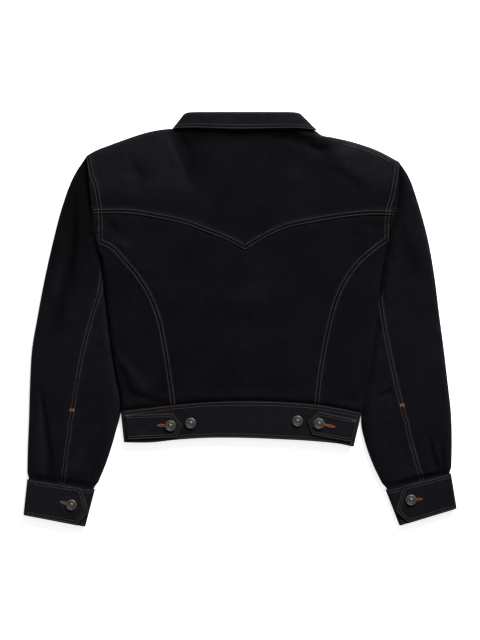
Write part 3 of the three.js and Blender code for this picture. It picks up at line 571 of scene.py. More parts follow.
@dataclass
class Shell:
    """A closed shell of cloth: an outer grid of points, and an inner one a thickness within.

    The outer face looks up, or down where faces is -1, which the grid point named by check is sure to do.
    Points in level have a wall that lies level, and rim is the distance from a rim that is rounded.
    No point goes below the floor. The name is that of the solid that the shell stands for.
    """

    ROUNDED = 0.42
    ROUNDED_WITHIN = 0.75
    SHARP = 50

    name: str
    outer: np.ndarray
    thick: float
    faces: int = 1
    check: tuple[int, int] = (0, 0)
    level: Optional[np.ndarray] = None
    rim: Optional[np.ndarray] = None
    wear_and_painted_light: Optional[np.ndarray] = None
    grain: Optional[np.ndarray] = None

    def build(self) -> bpy.types.Object:
        """Makes the mesh object, with its grain as a UV map and, as an attribute, its wear with painted light
        and shade.

        Returns:
            The object, in the row frame.
        """
        rows, cols = self.outer.shape[:2]
        out = normals_of(self.outer)
        j, i = self.check if self.check != (0, 0) else (rows // 2, cols // 2)
        out *= np.sign(out[j, i, 2]) * self.faces
        level = np.zeros((rows, cols), bool) if self.level is None else self.level
        self._stand_upright(out, level)
        out[level, 2] = 0
        out = unit(out)
        rim = np.full((rows, cols), FAR) if self.rim is None else self.rim
        round_in = rounded(rim / (self.ROUNDED_WITHIN * self.thick))
        round_in = (self.ROUNDED * self.thick * (1 - round_in))[..., None]
        outer = self.outer - out * round_in
        inner = self.outer - out * (self.thick - round_in)
        for face in (outer, inner):
            face[..., 2] = np.maximum(face[..., 2], 0)
        quads = self._quads(rows, cols)
        points = np.concatenate([outer.reshape(-1, 3), inner.reshape(-1, 3)])
        a, b, c, d = (points[quads[:, k]] for k in range(4))
        volume = (a * np.cross(b, c)).sum() + (a * np.cross(c, d)).sum()
        if volume < 0:
            quads = quads[:, ::-1]
        mesh = bpy.data.meshes.new("cloth_" + self.name)
        mesh.from_pydata((points * MM).tolist(), [], quads.tolist())
        self._add_grain(mesh, rows * cols)
        wear_and_painted_light = np.zeros((rows, cols)) if self.wear_and_painted_light is None else self.wear_and_painted_light
        layer = mesh.attributes.new("wear_and_painted_light", "FLOAT", "POINT")
        layer.data.foreach_set("value", np.tile(wear_and_painted_light.ravel(), 2).astype(np.float32))
        mesh.shade_smooth()
        mesh.set_sharp_from_angle(angle=math.radians(self.SHARP))
        return add_object("cloth_" + self.name, mesh)

    def _stand_upright(self, out: np.ndarray, level: np.ndarray) -> None:
        """Takes out of the normals at a seam what points across it, so that the wall there is upright."""
        padded = np.pad(self.outer, ((1, 1), (1, 1), (0, 0)), mode="edge")
        across = padded[1:-1, 2:] - padded[1:-1, :-2]
        down = padded[2:, 1:-1] - padded[:-2, 1:-1]
        for run, edge in ((across, np.s_[0]), (across, np.s_[-1]), (down, np.s_[:, 0]), (down, np.s_[:, -1])):
            aside = np.stack([run[edge][..., 1], -run[edge][..., 0], np.zeros(run[edge].shape[:-1])], -1)
            aside = unit(aside)
            part = (out[edge] * aside).sum(-1, keepdims=True)
            out[edge] = np.where(level[edge][..., None], out[edge], out[edge] - part * aside)

    @staticmethod
    def _quads(rows: int, cols: int) -> np.ndarray:
        """Faces of the outer grid, the inner grid and the walls between them."""
        o = np.arange(rows * cols).reshape(rows, cols)
        n = o + rows * cols

        def face(*corners: np.ndarray) -> np.ndarray:
            """Four grids of corners as a list of faces."""
            return np.stack([corner.ravel() for corner in corners], -1)

        return np.concatenate([
            face(o[:-1, :-1], o[:-1, 1:], o[1:, 1:], o[1:, :-1]),
            face(n[:-1, :-1], n[1:, :-1], n[1:, 1:], n[:-1, 1:]),
            face(o[:-1, 0], o[1:, 0], n[1:, 0], n[:-1, 0]),
            face(o[:-1, -1], n[:-1, -1], n[1:, -1], o[1:, -1]),
            face(o[0, :-1], n[0, :-1], n[0, 1:], o[0, 1:]),
            face(o[-1, :-1], o[-1, 1:], n[-1, 1:], n[-1, :-1]),
        ])

    def _add_grain(self, mesh: bpy.types.Mesh, count: int) -> None:
        """Lays the cloth's real width and length over the mesh as its UV map."""
        if self.grain is None:
            across = np.linalg.norm(np.diff(self.outer, axis=1), axis=-1).mean(0)
            down = np.linalg.norm(np.diff(self.outer, axis=0), axis=-1).mean(1)
            u, v = np.concatenate([[0], np.cumsum(across)]), np.concatenate([[0], np.cumsum(down)])
            grain = np.stack(np.broadcast_arrays(u[None], v[:, None]), -1)
        else:
            grain = self.grain
        flat = np.tile(grain.reshape(-1, 2), (2, 1)) * MM
        corners = np.empty(len(mesh.loops), np.int32)
        mesh.loops.foreach_get("vertex_index", corners)
        layer = mesh.uv_layers.new(name="grain")
        layer.data.foreach_set("uv", flat[corners].astype(np.float32).ravel())


class Nodes:
    """Short way to write a material's nodes."""

    def __init__(self, name: str) -> None:
        """Makes an empty material with its output.

        Args:
            name: the material's name.
        """
        self.material = bpy.data.materials.new(name)
        self.material.use_nodes = True
        self.tree = self.material.node_tree
        self.tree.nodes.clear()
        self.shader = self.tree.nodes.new("ShaderNodeBsdfPrincipled")
        output = self.tree.nodes.new("ShaderNodeOutputMaterial")
        self.tree.links.new(self.shader.outputs[0], output.inputs["Surface"])

    def add(self, kind: str, inputs: Optional[dict] = None, **settings: Union[str, bool]) -> bpy.types.Node:
        """Adds a node.

        Args:
            kind: the node's type, without its prefix.
            inputs: values or output sockets by input name or number.
            settings: the node's own settings.

        Returns:
            The node.
        """
        node = self.tree.nodes.new("ShaderNode" + kind)
        for key, value in settings.items():
            setattr(node, key, value)
        for key, value in (inputs or {}).items():
            if isinstance(value, bpy.types.NodeSocket):
                self.tree.links.new(value, node.inputs[key])
            else:
                node.inputs[key].default_value = value
        return node

    def math(self, operation: str, a: Socket, b: Socket = 0.0) -> bpy.types.NodeSocket:
        """Output of a math node."""
        return self.add("Math", {0: a, 1: b}, operation=operation).outputs[0]

    def total(self, *parts: tuple[bpy.types.NodeSocket, float]) -> bpy.types.NodeSocket:
        """Sum of some outputs, each times its weight."""
        scaled = [self.math("MULTIPLY", output, weight) for output, weight in parts]
        whole = scaled[0]
        for part in scaled[1:]:
            whole = self.math("ADD", whole, part)
        return whole

    def wave(self, vector: bpy.types.NodeSocket, across: float, along: float) -> bpy.types.NodeSocket:
        """Ribs over the grain, with that many to a metre across and along it."""
        step = (2 * math.pi * across, 2 * math.pi * along, 0.0)
        dot = self.add("VectorMath", {0: vector, 1: step}, operation="DOT_PRODUCT").outputs["Value"]
        return self.math("SINE", dot)

    def noise(self, vector: bpy.types.NodeSocket, scale: tuple[float, float, float],
              detail: float = 2.0) -> bpy.types.NodeSocket:
        """Noise from 0 to 1 with a scale to a metre for each axis."""
        placed = self.add("VectorMath", {0: vector, 1: scale}, operation="MULTIPLY").outputs[0]
        return self.add("TexNoise", {"Vector": placed, "Scale": 1.0, "Detail": detail}).outputs["Fac"]

    def between(self, share: bpy.types.NodeSocket, low: float, high: float, a: Union[Socket, tuple],
                b: Union[Socket, tuple]) -> bpy.types.NodeSocket:
        """Colour from a to b as share goes from low to high."""
        part = self.add("MapRange", {"Value": share, "From Min": low, "From Max": high}).outputs[0]
        node = self.add("Mix", data_type="RGBA")
        self.tree.links.new(part, node.inputs[0])
        for index, colour in ((6, a), (7, b)):
            if isinstance(colour, bpy.types.NodeSocket):
                self.tree.links.new(colour, node.inputs[index])
            else:
                node.inputs[index].default_value = (*colour, 1.0)
        return node.outputs[2]

    def set(self, **values: Union[Socket, tuple]) -> None:
        """Sets or links the shader's inputs, with underscores for spaces."""
        for key, value in values.items():
            socket = self.shader.inputs[key.replace("_", " ")]
            if isinstance(value, bpy.types.NodeSocket):
                self.tree.links.new(value, socket)
            else:
                socket.default_value = value


@dataclass(frozen=True)
class Denim:
    """Raw dark denim: a right-hand twill with slubs, lighter where it rubs and under painted highlights, and
    near black under painted shade.
    """

    name: str = "raw_denim"
    # Near black for painted shade; the rubbed colour serves both rubbed wear and painted highlights
    painted_shade: tuple[float, float, float] = (0.0002, 0.0002, 0.0003)
    dark: tuple[float, float, float] = (0.0007, 0.0006, 0.0012)
    light: tuple[float, float, float] = (0.0036, 0.0032, 0.0050)
    rubbed_and_highlit: tuple[float, float, float] = (0.0150, 0.0142, 0.0180)
    ribs: float = 620.0
    yarns: float = 1500.0

    def material(self) -> bpy.types.Material:
        """Makes the cloth's material.

        Returns:
            The material.
        """
        n = Nodes(self.name)
        grain = n.add("UVMap", uv_map="grain").outputs[0]
        place = n.add("TexCoord").outputs["Object"]
        twill = n.wave(grain, self.ribs, self.ribs * 0.62)
        warp = n.wave(grain, self.yarns, 0)
        weft = n.wave(grain, 0, self.yarns * 0.8)
        slub = n.noise(grain, (1100, 45, 1))
        cross_slub = n.noise(grain, (60, 800, 1))
        mottle = n.noise(place, (85, 85, 85), 3)
        clouds = n.noise(place, (14, 14, 14), 2)
        tone = n.total((slub, 0.55), (mottle, 0.45), (clouds, 0.5), (twill, 0.06))
        base = n.between(tone, 0.45, 1.05, self.dark, self.light)
        # Above 0 the attribute lightens the cloth, for rubbed wear on seams, folds and trims and for painted
        # highlights on the shoulders and crease ridges; below 0 it darkens it to near black, for painted
        # shade under the collar, by the armholes, at the left sleeve's head and in crease troughs
        wear_and_painted_light = n.add("Attribute", attribute_name="wear_and_painted_light", attribute_type="GEOMETRY").outputs["Fac"]
        rub_and_highlight = n.math("MULTIPLY", wear_and_painted_light, n.math("ADD", n.math("MULTIPLY", slub, 0.8), mottle))
        worn_and_highlit = n.between(rub_and_highlight, 0.0, 1.1, base, self.rubbed_and_highlit)
        colour = n.between(wear_and_painted_light, -1.0, 0.0, self.painted_shade, worn_and_highlit)
        relief = n.total((twill, 0.5), (warp, 0.25), (weft, 0.15), (slub, 1.6), (cross_slub, 0.8))
        bump = n.add("Bump", {"Strength": 0.55, "Distance": 0.00025, "Height": relief}).outputs[0]
        rough = n.add("MapRange", {"Value": mottle, "To Min": 0.72, "To Max": 0.9}).outputs[0]
        n.set(Base_Color=colour, Roughness=rough, Normal=bump, Specular_IOR_Level=0.035,
              Sheen_Weight=0.012, Sheen_Roughness=0.4, Sheen_Tint=(0.80, 0.78, 0.95, 1.0))
        return n.material


@dataclass(frozen=True)
class Thread:
    """Twisted sewing thread in a warm rust."""

    name: str
    dark: tuple[float, float, float]
    light: tuple[float, float, float]
    patches: float = 38.0

    def material(self) -> bpy.types.Material:
        """Makes the thread's material.

        Returns:
            The material.
        """
        n = Nodes(self.name)
        place = n.add("TexCoord").outputs["Object"]
        tone = n.noise(place, (self.patches,) * 3, 3)
        twist = n.noise(place, (2600, 2600, 2600), 1)
        colour = n.between(tone, 0.3, 0.7, self.dark, self.light)
        bump = n.add("Bump", {"Strength": 0.5, "Distance": 0.0001, "Height": twist}).outputs[0]
        n.set(Base_Color=colour, Roughness=0.55, Normal=bump, Specular_IOR_Level=0.25)
        return n.material


@dataclass(frozen=True)
class AgedMetal:
    """Grey metal, turned and aged, with a dark patina in its rings."""

    name: str = "aged_metal"
    bright: tuple[float, float, float] = (0.105, 0.101, 0.096)
    patina: tuple[float, float, float] = (0.010, 0.010, 0.010)

    def material(self) -> bpy.types.Material:
        """Makes the buttons' material.

        Returns:
            The material.
        """
        n = Nodes(self.name)
        place = n.add("TexCoord").outputs["Object"]
        sunk = n.add("Attribute", attribute_name="sunk", attribute_type="GEOMETRY").outputs["Fac"]
        grime = n.noise(place, (900, 900, 900), 3)
        dark = n.math("ADD", sunk, n.math("MULTIPLY", grime, 0.6))
        colour = n.between(dark, 0.35, 1.1, self.bright, self.patina)
        rough = n.add("MapRange", {"Value": dark, "To Min": 0.42, "To Max": 0.7}).outputs[0]
        bump = n.add("Bump", {"Strength": 0.3, "Distance": 0.0001, "Height": grime}).outputs[0]
        n.set(Base_Color=colour, Roughness=rough, Normal=bump, Metallic=0.9)
        return n.material


@dataclass(frozen=True)
class PaleFloor:
    """Plain pale floor that glows a little, as a light table does."""

    name: str = "pale_floor"
    colour: tuple[float, float, float, float] = (0.80, 0.80, 0.80, 1.0)
    glow: float = 0.7

    def material(self) -> bpy.types.Material:
        """Makes the floor's material."""
        n = Nodes(self.name)
        n.set(Base_Color=self.colour, Roughness=0.95, Specular_IOR_Level=0.0,
              Emission_Color=(1.0, 1.0, 1.0, 1.0), Emission_Strength=self.glow)
        return n.material


@dataclass(frozen=True)
class Finishes:
    """The materials of the whole jacket."""

    denim: bpy.types.Material
    thread: bpy.types.Material
    tack: bpy.types.Material
    metal: bpy.types.Material

    @classmethod
    def make(cls) -> "Finishes":
        """Makes each material once."""
        return cls(
            denim=Denim().material(),
            thread=Thread("rust_thread", (0.066, 0.031, 0.018), (0.062, 0.055, 0.053)).material(),
            tack=Thread("orange_thread", (0.125, 0.038, 0.013), (0.20, 0.070, 0.030)).material(),
            metal=AgedMetal().material(),
        )


def dress(obj: bpy.types.Object, material: bpy.types.Material, node: str = "") -> None:
    """Gives a piece its finish and its place in the frame.

    Args:
        obj: the piece.
        material: its finish.
        node: the solid that it stands for, if it does.
    """
    obj.data.materials.append(material)
    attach(obj, "root")
    if node:
        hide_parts(node)
    LOG.info("%s: %d faces", obj.name, len(obj.data.polygons))


@dataclass(frozen=True)
class Cut:
    """What a piece was cut to: width and length in metres, its area, and what it lies on."""

    width: float
    length: float
    area: float
    rests_on: tuple[str, ...] = ()


def lay_cloth(shell: Shell, finishes: Finishes) -> None:
    """Args:
        shell: the shell.
        finishes: the jacket's finishes.
    """
    obj = shell.build()
    dress(obj, finishes.denim, shell.name)


def resample(path: np.ndarray, pitch: float) -> np.ndarray:
    """Polyline with even steps of about a pitch."""
    runs = np.concatenate([[0], np.cumsum(np.linalg.norm(np.diff(path, axis=0), axis=1))])
    count = max(2, int(round(runs[-1] / pitch)) + 1)
    at = np.linspace(0, runs[-1], count)
    return np.stack([np.interp(at, runs, path[:, k]) for k in range(path.shape[1])], -1)


def inset(path: np.ndarray, distance: float) -> np.ndarray:
    """Polyline moved to the left of its run by a distance, with mitred corners."""
    along = unit(np.diff(path, axis=0))
    left = np.stack([-along[:, 1], along[:, 0]], -1)
    before, after = np.concatenate([left[:1], left]), np.concatenate([left, left[-1:]])
    bisector = unit(before + after)
    reach = distance / np.maximum((bisector * after).sum(-1, keepdims=True), 0.3)
    return path + bisector * reach


class Sewing:
    """Stitches of one thread, gathered into one mesh."""

    PROFILE = ((0.0, -0.3, 0.45), (0.14, 0.02, 0.85), (0.5, 0.14, 1.0), (0.86, 0.02, 0.85), (1.0, -0.3, 0.45))
    SIDES = 6
    WIDTH = 0.56
    LIFT = 0.18
    SATIN_WIDTH = 0.6
    SATIN_LIFT = 0.3
    SLOPE_STEP = 0.4

    def __init__(self, name: str) -> None:
        """Starts with no stitches under the piece's name."""
        self.name = name
        self.centres: list[np.ndarray] = []
        self.ups: list[np.ndarray] = []
        self.widths: list[np.ndarray] = []

    def stitch(self, starts: np.ndarray, ends: np.ndarray, height: Height, width: float = WIDTH,
               lift: float = LIFT) -> None:
        """Sews straight stitches between points in plan, on a height field.

        Args:
            starts: where each begins.
            ends: where each ends.
            height: height of the cloth.
            width: the thread's width.
            lift: how far the thread's middle stands off the cloth.
        """
        shares, rises, _ = np.array(self.PROFILE).T
        plan = mix(starts[:, None], ends[:, None], shares[None, :, None])
        x, y = plan[..., 0], plan[..., 1]
        z = height(x, y)
        step = self.SLOPE_STEP
        slope_x = (height(x + step, y) - height(x - step, y)) / (2 * step)
        slope_y = (height(x, y + step) - height(x, y - step)) / (2 * step)
        up = unit(np.stack([-slope_x, -slope_y, np.ones_like(x)], -1))
        self.centres.append(lifted(plan, z) + up * (rises + lift)[None, :, None])
        self.ups.append(up)
        self.widths.append(np.full(len(starts), width))

    def row(self, path: np.ndarray, height: Height, pitch: float = 3.4, share: float = 0.8) -> None:
        """Sews a row of stitches along a polyline in plan.

        Args:
            path: the polyline.
            height: height of the cloth.
            pitch: from one stitch to the next.
            share: how much of the pitch the thread shows.
        """
        points = resample(path, pitch)
        step = np.diff(points, axis=0)
        self.stitch(points[:-1] + step * (1 - share) / 2, points[:-1] + step * (1 + share) / 2, height)

    def pair(self, path: np.ndarray, height: Height, aside: float) -> None:
        """Sews a row on each side of a polyline, at that distance from it."""
        for off in (-aside, aside):
            self.row(inset(path, off), height)

    def satin(self, path: np.ndarray, wide: float, height: Height, pitch: float = 0.5) -> None:
        """Sews close stitches across a polyline, as in a bar tack or round a buttonhole.

        Args:
            path: the polyline.
            wide: length of each stitch.
            height: height of the cloth.
            pitch: from one stitch to the next.
        """
        points = resample(path, pitch)
        along = unit(np.gradient(points, axis=0))
        aside = np.stack([-along[:, 1], along[:, 0]], -1) * wide / 2
        self.stitch(points - aside, points + aside, height, self.SATIN_WIDTH, self.SATIN_LIFT)

    def build(self, material: bpy.types.Material) -> None:
        """Makes the piece of all the stitches.

        Args:
            material: the thread's finish.
        """
        centre, up = np.concatenate(self.centres), np.concatenate(self.ups)
        width = np.concatenate(self.widths)[:, None, None, None]
        along = unit(np.gradient(centre, axis=1))
        side = unit(np.cross(along, up))
        over = np.cross(side, along)
        turns = np.arange(self.SIDES) * 2 * math.pi / self.SIDES
        swell = np.array(self.PROFILE)[None, :, 2, None, None]
        ring = (side[:, :, None] * np.cos(turns)[:, None] + over[:, :, None] * np.sin(turns)[:, None] * 0.8)
        points = centre[:, :, None] + ring * swell * width / 2
        count, rings, sides = points.shape[:3]
        index = np.arange(count * rings * sides).reshape(count, rings, sides)
        turned = np.roll(index, -1, axis=2)
        quads = np.stack([index[:, :-1], turned[:, :-1], turned[:, 1:], index[:, 1:]], -1).reshape(-1, 4)
        caps = np.concatenate([index[:, 0, ::-1], index[:, -1]])
        mesh = bpy.data.meshes.new(self.name)
        mesh.from_pydata((points.reshape(-1, 3) * MM).tolist(), [], quads.tolist() + caps.tolist())
        mesh.shade_smooth()
        dress(add_object(self.name, mesh), material)


class CollarForm:
    """The collar's fold, edge and neck seam round the neck, from one front to the other.

    A place is a number from -8 at the left front, through 0 at the centre back, to 8 at the right front.
    """

    X = 5.0
    END = 8
    DRAWN = {"edge": (9.0, 3.4, 2.6, 2.4), "fold": (2.6, 5.6, 0, 0)}
    RISE = {"edge": 4.0, "seam": 3.0}
    ROLL = 5.0
    FOLD = [(0, 331.2, 14.5), (50, 331.2, 14.5), (76, 331, 14.2), (82.5, 330.5, 12.3), (85, 329.5, 8.5),
            (82.5, 327, 5), (76, 320, 4), (46, 290, 4), (23, 268, 4)]
    EDGE = [(0, 303.2, 15.6), (52, 304.5, 15.6), (90, 306.4, 15.4), (106, 307.2, 13), (110.6, 307.6, 7.5),
            (106.5, 307.4, 1.8), (99, 301, 0), (86, 258, 0), (64, 203, 0)]
    SEAM = [(0, 316, 10.8), (50, 315.3, 10.8), (80, 312.8, 10.7), (96, 309, 9.4), (104.5, 306, 6.5),
            (99, 297, 5), (88, 283, 4.4), (55, 255, 4.4), (23, 246, 4.4)]
    OUT = [(0, 0, 1), (0, 0, 1), (0, 0, 1), (0.7, 0, 0.7), (1, 0, 0), (0.7, 0, -0.7), (0, 0, -1), (0, 0, -1),
           (0, 0, -1)]

    def __init__(self) -> None:
        """Makes the curves, each mirrored to the other side."""
        parts = {"fold": self.FOLD, "edge": self.EDGE, "seam": self.SEAM, "out": self.OUT}
        self.curves = {part: Curve([(-x, y, z) for x, y, z in rows[:0:-1]] + rows)
                       for part, rows in parts.items()}

    def at(self, part: str, place: np.ndarray) -> np.ndarray:
        """Points of a curve at places round the neck, with the fall's corners drawn out a little."""
        points = self.curves[part].at((place + self.END) / (2 * self.END)) + (self.X, 0, 0)
        right, left, down, more = self.DRAWN.get(part, (0, 0, 0, 0))
        corner = bell(np.abs(place) - 3.2, 1.3)
        points[..., 0] += corner * np.where(place > 0, right, -left)
        points[..., 1] -= corner * np.where(place > 0, down + more, down)
        return points

    def neck(self, place: np.ndarray) -> np.ndarray:
        """The neck seam in plan."""
        return self.at("seam", np.asarray(place, float))[..., :2]

    def point(self, part: str, place: np.ndarray, p: np.ndarray) -> np.ndarray:
        """Point of the fall's or the stand's outer face, at a place and a share from the fold.

        Args:
            part: "edge" for the fall, "seam" for the stand.
            place: where round the neck.
            p: share of the way from the fold.

        Returns:
            The points.
        """
        fold, end = self.at("fold", place), self.at(part, place)
        out = unit(self.curves["out"].at((place + self.END) / (2 * self.END)))
        out = out if part == "edge" else -out
        length = np.linalg.norm(end - fold, axis=-1)
        rise = self.RISE[part] * rounded(p * length / self.ROLL) * (1 - p) + GAP / 2 * (1 - p)
        point = mix(fold, end, p[..., None]) + out * rise[..., None]
        point[..., 2] = np.maximum(point[..., 2], 0)
        return point


class BodyForm:
    """Plan and heights of the body, which the back and the fronts share."""

    ARMPIT_SHARE = 0.13
    SHOULDER_SHARE = 0.3
    NECK_POINT = 4

    def __init__(self, collar: CollarForm) -> None:
        """Makes the body's curves and its seams.

        Args:
            collar: the collar, whose neck seam the body shares.
        """
        self.collar = collar
        self.shoulder = {hand: Curve(SHOULDER[hand]) for hand in Hand}
        self.armhole = {hand: Curve(ARMHOLE[hand]) for hand in Hand}
        self.fold = {hand: Curve(SIDE_FOLD[hand]) for hand in Hand}
        self.seam = {hand: Curve(SIDE_SEAM[hand]) for hand in Hand}
        self.yoke = {hand: Curve(YOKE_SEAM[hand]) for hand in Hand}
        self.hem = Curve(HEM_SEAM)
        self.hem_edge = Curve(HEM_EDGE)
        self.sleeve_outer = {hand: Curve([row[0] for row in SLEEVE[hand]]) for hand in Hand}
        self.edges = [curve.line() for curves in (self.shoulder, self.sleeve_outer, self.fold)
                      for curve in curves.values()]
        self.yoke_share = {hand: self.armhole[hand].nearest(*YOKE_SEAM[hand][0 if hand is Hand.LEFT else -1])
                           for hand in Hand}
        self.side_share = {hand: self.armhole[hand].nearest(*SIDE_SEAM[hand][0]) for hand in Hand}
        self.hem_share = {hand: self.hem.nearest(*SIDE_SEAM[hand][-1]) for hand in Hand}
        self.hem_line = self.hem.line()
        self.neck_line = collar.neck(np.linspace(-self.NECK_POINT, self.NECK_POINT, 80))
        yoke = np.concatenate([self.yoke[Hand.LEFT].line(), self.yoke[Hand.RIGHT].line()[1:]])
        self.fells = [
            Fell(yoke, seed=1),
            Fell(self.seam[Hand.LEFT].line()[::-1], seed=2),
            Fell(self.seam[Hand.RIGHT].line(), seed=3),
        ]
        self.armhole_rows = {hand: Curve(ARMHOLE_ROWS[hand]).line() for hand in Hand}

    def _armhole_lift(self, hand: Hand, x: np.ndarray, y: np.ndarray) -> np.ndarray:
        """Height of the turned seam beside an armhole, whose rows lie inside its edge."""
        off, run = nearest_on(self.armhole_rows[hand], x, y)
        off = off * -hand.outward
        pull = ripple(run, off * 0.35, 7, 11 + hand.outward) + 0.5 * ripple(run, off * 0.3, 17, 13)
        groove = bell(np.abs(off) - 2.7, GROOVE_WIDE) * smooth(y, 118, 124)
        near = bell(np.maximum(np.abs(off) - 4, 0), 7) * smooth(y, 112, 130)
        ridge = (1 - smooth(off, 4.0, 7.5)) * smooth(y, 116, 134)
        return 0.9 * ridge - GROOVE * groove + 0.36 * pull * near

    def _hem_lift(self, x: np.ndarray, y: np.ndarray) -> np.ndarray:
        """The cloth blouses a little over the waistband, in uneven gathers, and dips at the seam."""
        off = nearest_on(self.hem_line, x, y)[0]
        gather = ripple(x, y * 0.3, 13, 21) + 0.6 * ripple(x, y * 0.3, 6, 23)
        return (1.1 * bell(off - 9, 7) - 1.5 * bell(off, 2.4) + 0.42 * gather * bell(off - 3, 11)
                + 0.35 * ripple(x, y * 0.25, 34, 25) * bell(off, 46))

    def relief(self, x: np.ndarray, y: np.ndarray) -> np.ndarray:
        """Everything that the seams and the slack of the cloth add to its height."""
        lift = slack(x, y, (1.5, 84, 31), (0.75, 37, 33), (0.24, 15, 35))
        lift = lift - 1.5 * bell(clear_of([self.neck_line], x, y), 19)
        for fell in self.fells:
            lift = lift + fell.lift(x, y)
        for hand in Hand:
            lift = lift + self._armhole_lift(hand, x, y)
        return lift + self._hem_lift(x, y)

    def top(self, x: np.ndarray, y: np.ndarray) -> np.ndarray:
        """Height of the back's outer face."""
        edge = clear_of(self.edges, x, y)
        full = mix(HEM_HIGH, BODY_HIGH, smooth(y, -150, -90)) + creases(x, y) + self.relief(x, y)
        near = armpit(x, y)
        tip = mix(TIP, ARMPIT_TIP, near)
        return tip + (full - tip) * rounded(edge / mix(ROLL, ARMPIT_ROLL, near))

    def under(self, x: np.ndarray, y: np.ndarray, raised: float) -> np.ndarray:
        """Height of a front's outer face, which looks down."""
        edge = clear_of(self.edges, x, y)
        over_leaf = smooth(y, LEAF_LOW - 26, LEAF_LOW - 4)
        over_leaf = over_leaf * smooth(np.abs(x - CollarForm.X), LEAF_WIDE + 20, LEAF_WIDE)
        lift = np.maximum(LEAF_LIFT * over_leaf, placket_lift(x, raised))
        return TIP + (lift - TIP) * rounded(edge / UNDER_ROLL)

    def yoke_top(self, s: np.ndarray) -> np.ndarray:
        """Upper edge of the yoke: left shoulder, neck and right shoulder."""
        part = self.SHOULDER_SHARE
        left = self.shoulder[Hand.LEFT].along(1 - s / part)
        right = self.shoulder[Hand.RIGHT].along((s - 1 + part) / part)
        share = np.clip((s - part) / (1 - 2 * part), 0, 1)
        neck = self.collar.neck(mix(-self.NECK_POINT, self.NECK_POINT, share))
        side = np.where((s < part)[..., None], left, right)
        return np.where(((s >= part) & (s <= 1 - part))[..., None], neck, side)

    def yoke_seam(self, s: np.ndarray) -> np.ndarray:
        """Lower edge of the yoke, down to its point and up again."""
        left, right = self.yoke[Hand.LEFT].along(2 * s), self.yoke[Hand.RIGHT].along(2 * s - 1)
        return np.where((s < 0.5)[..., None], left, right)


def placket_lift(x: np.ndarray, reach: float) -> np.ndarray:
    """How far a front lies off the floor beside the closing."""
    return reach * smooth(np.abs(x - MIDDLE), OVERLAP + 22, OVERLAP + 4)


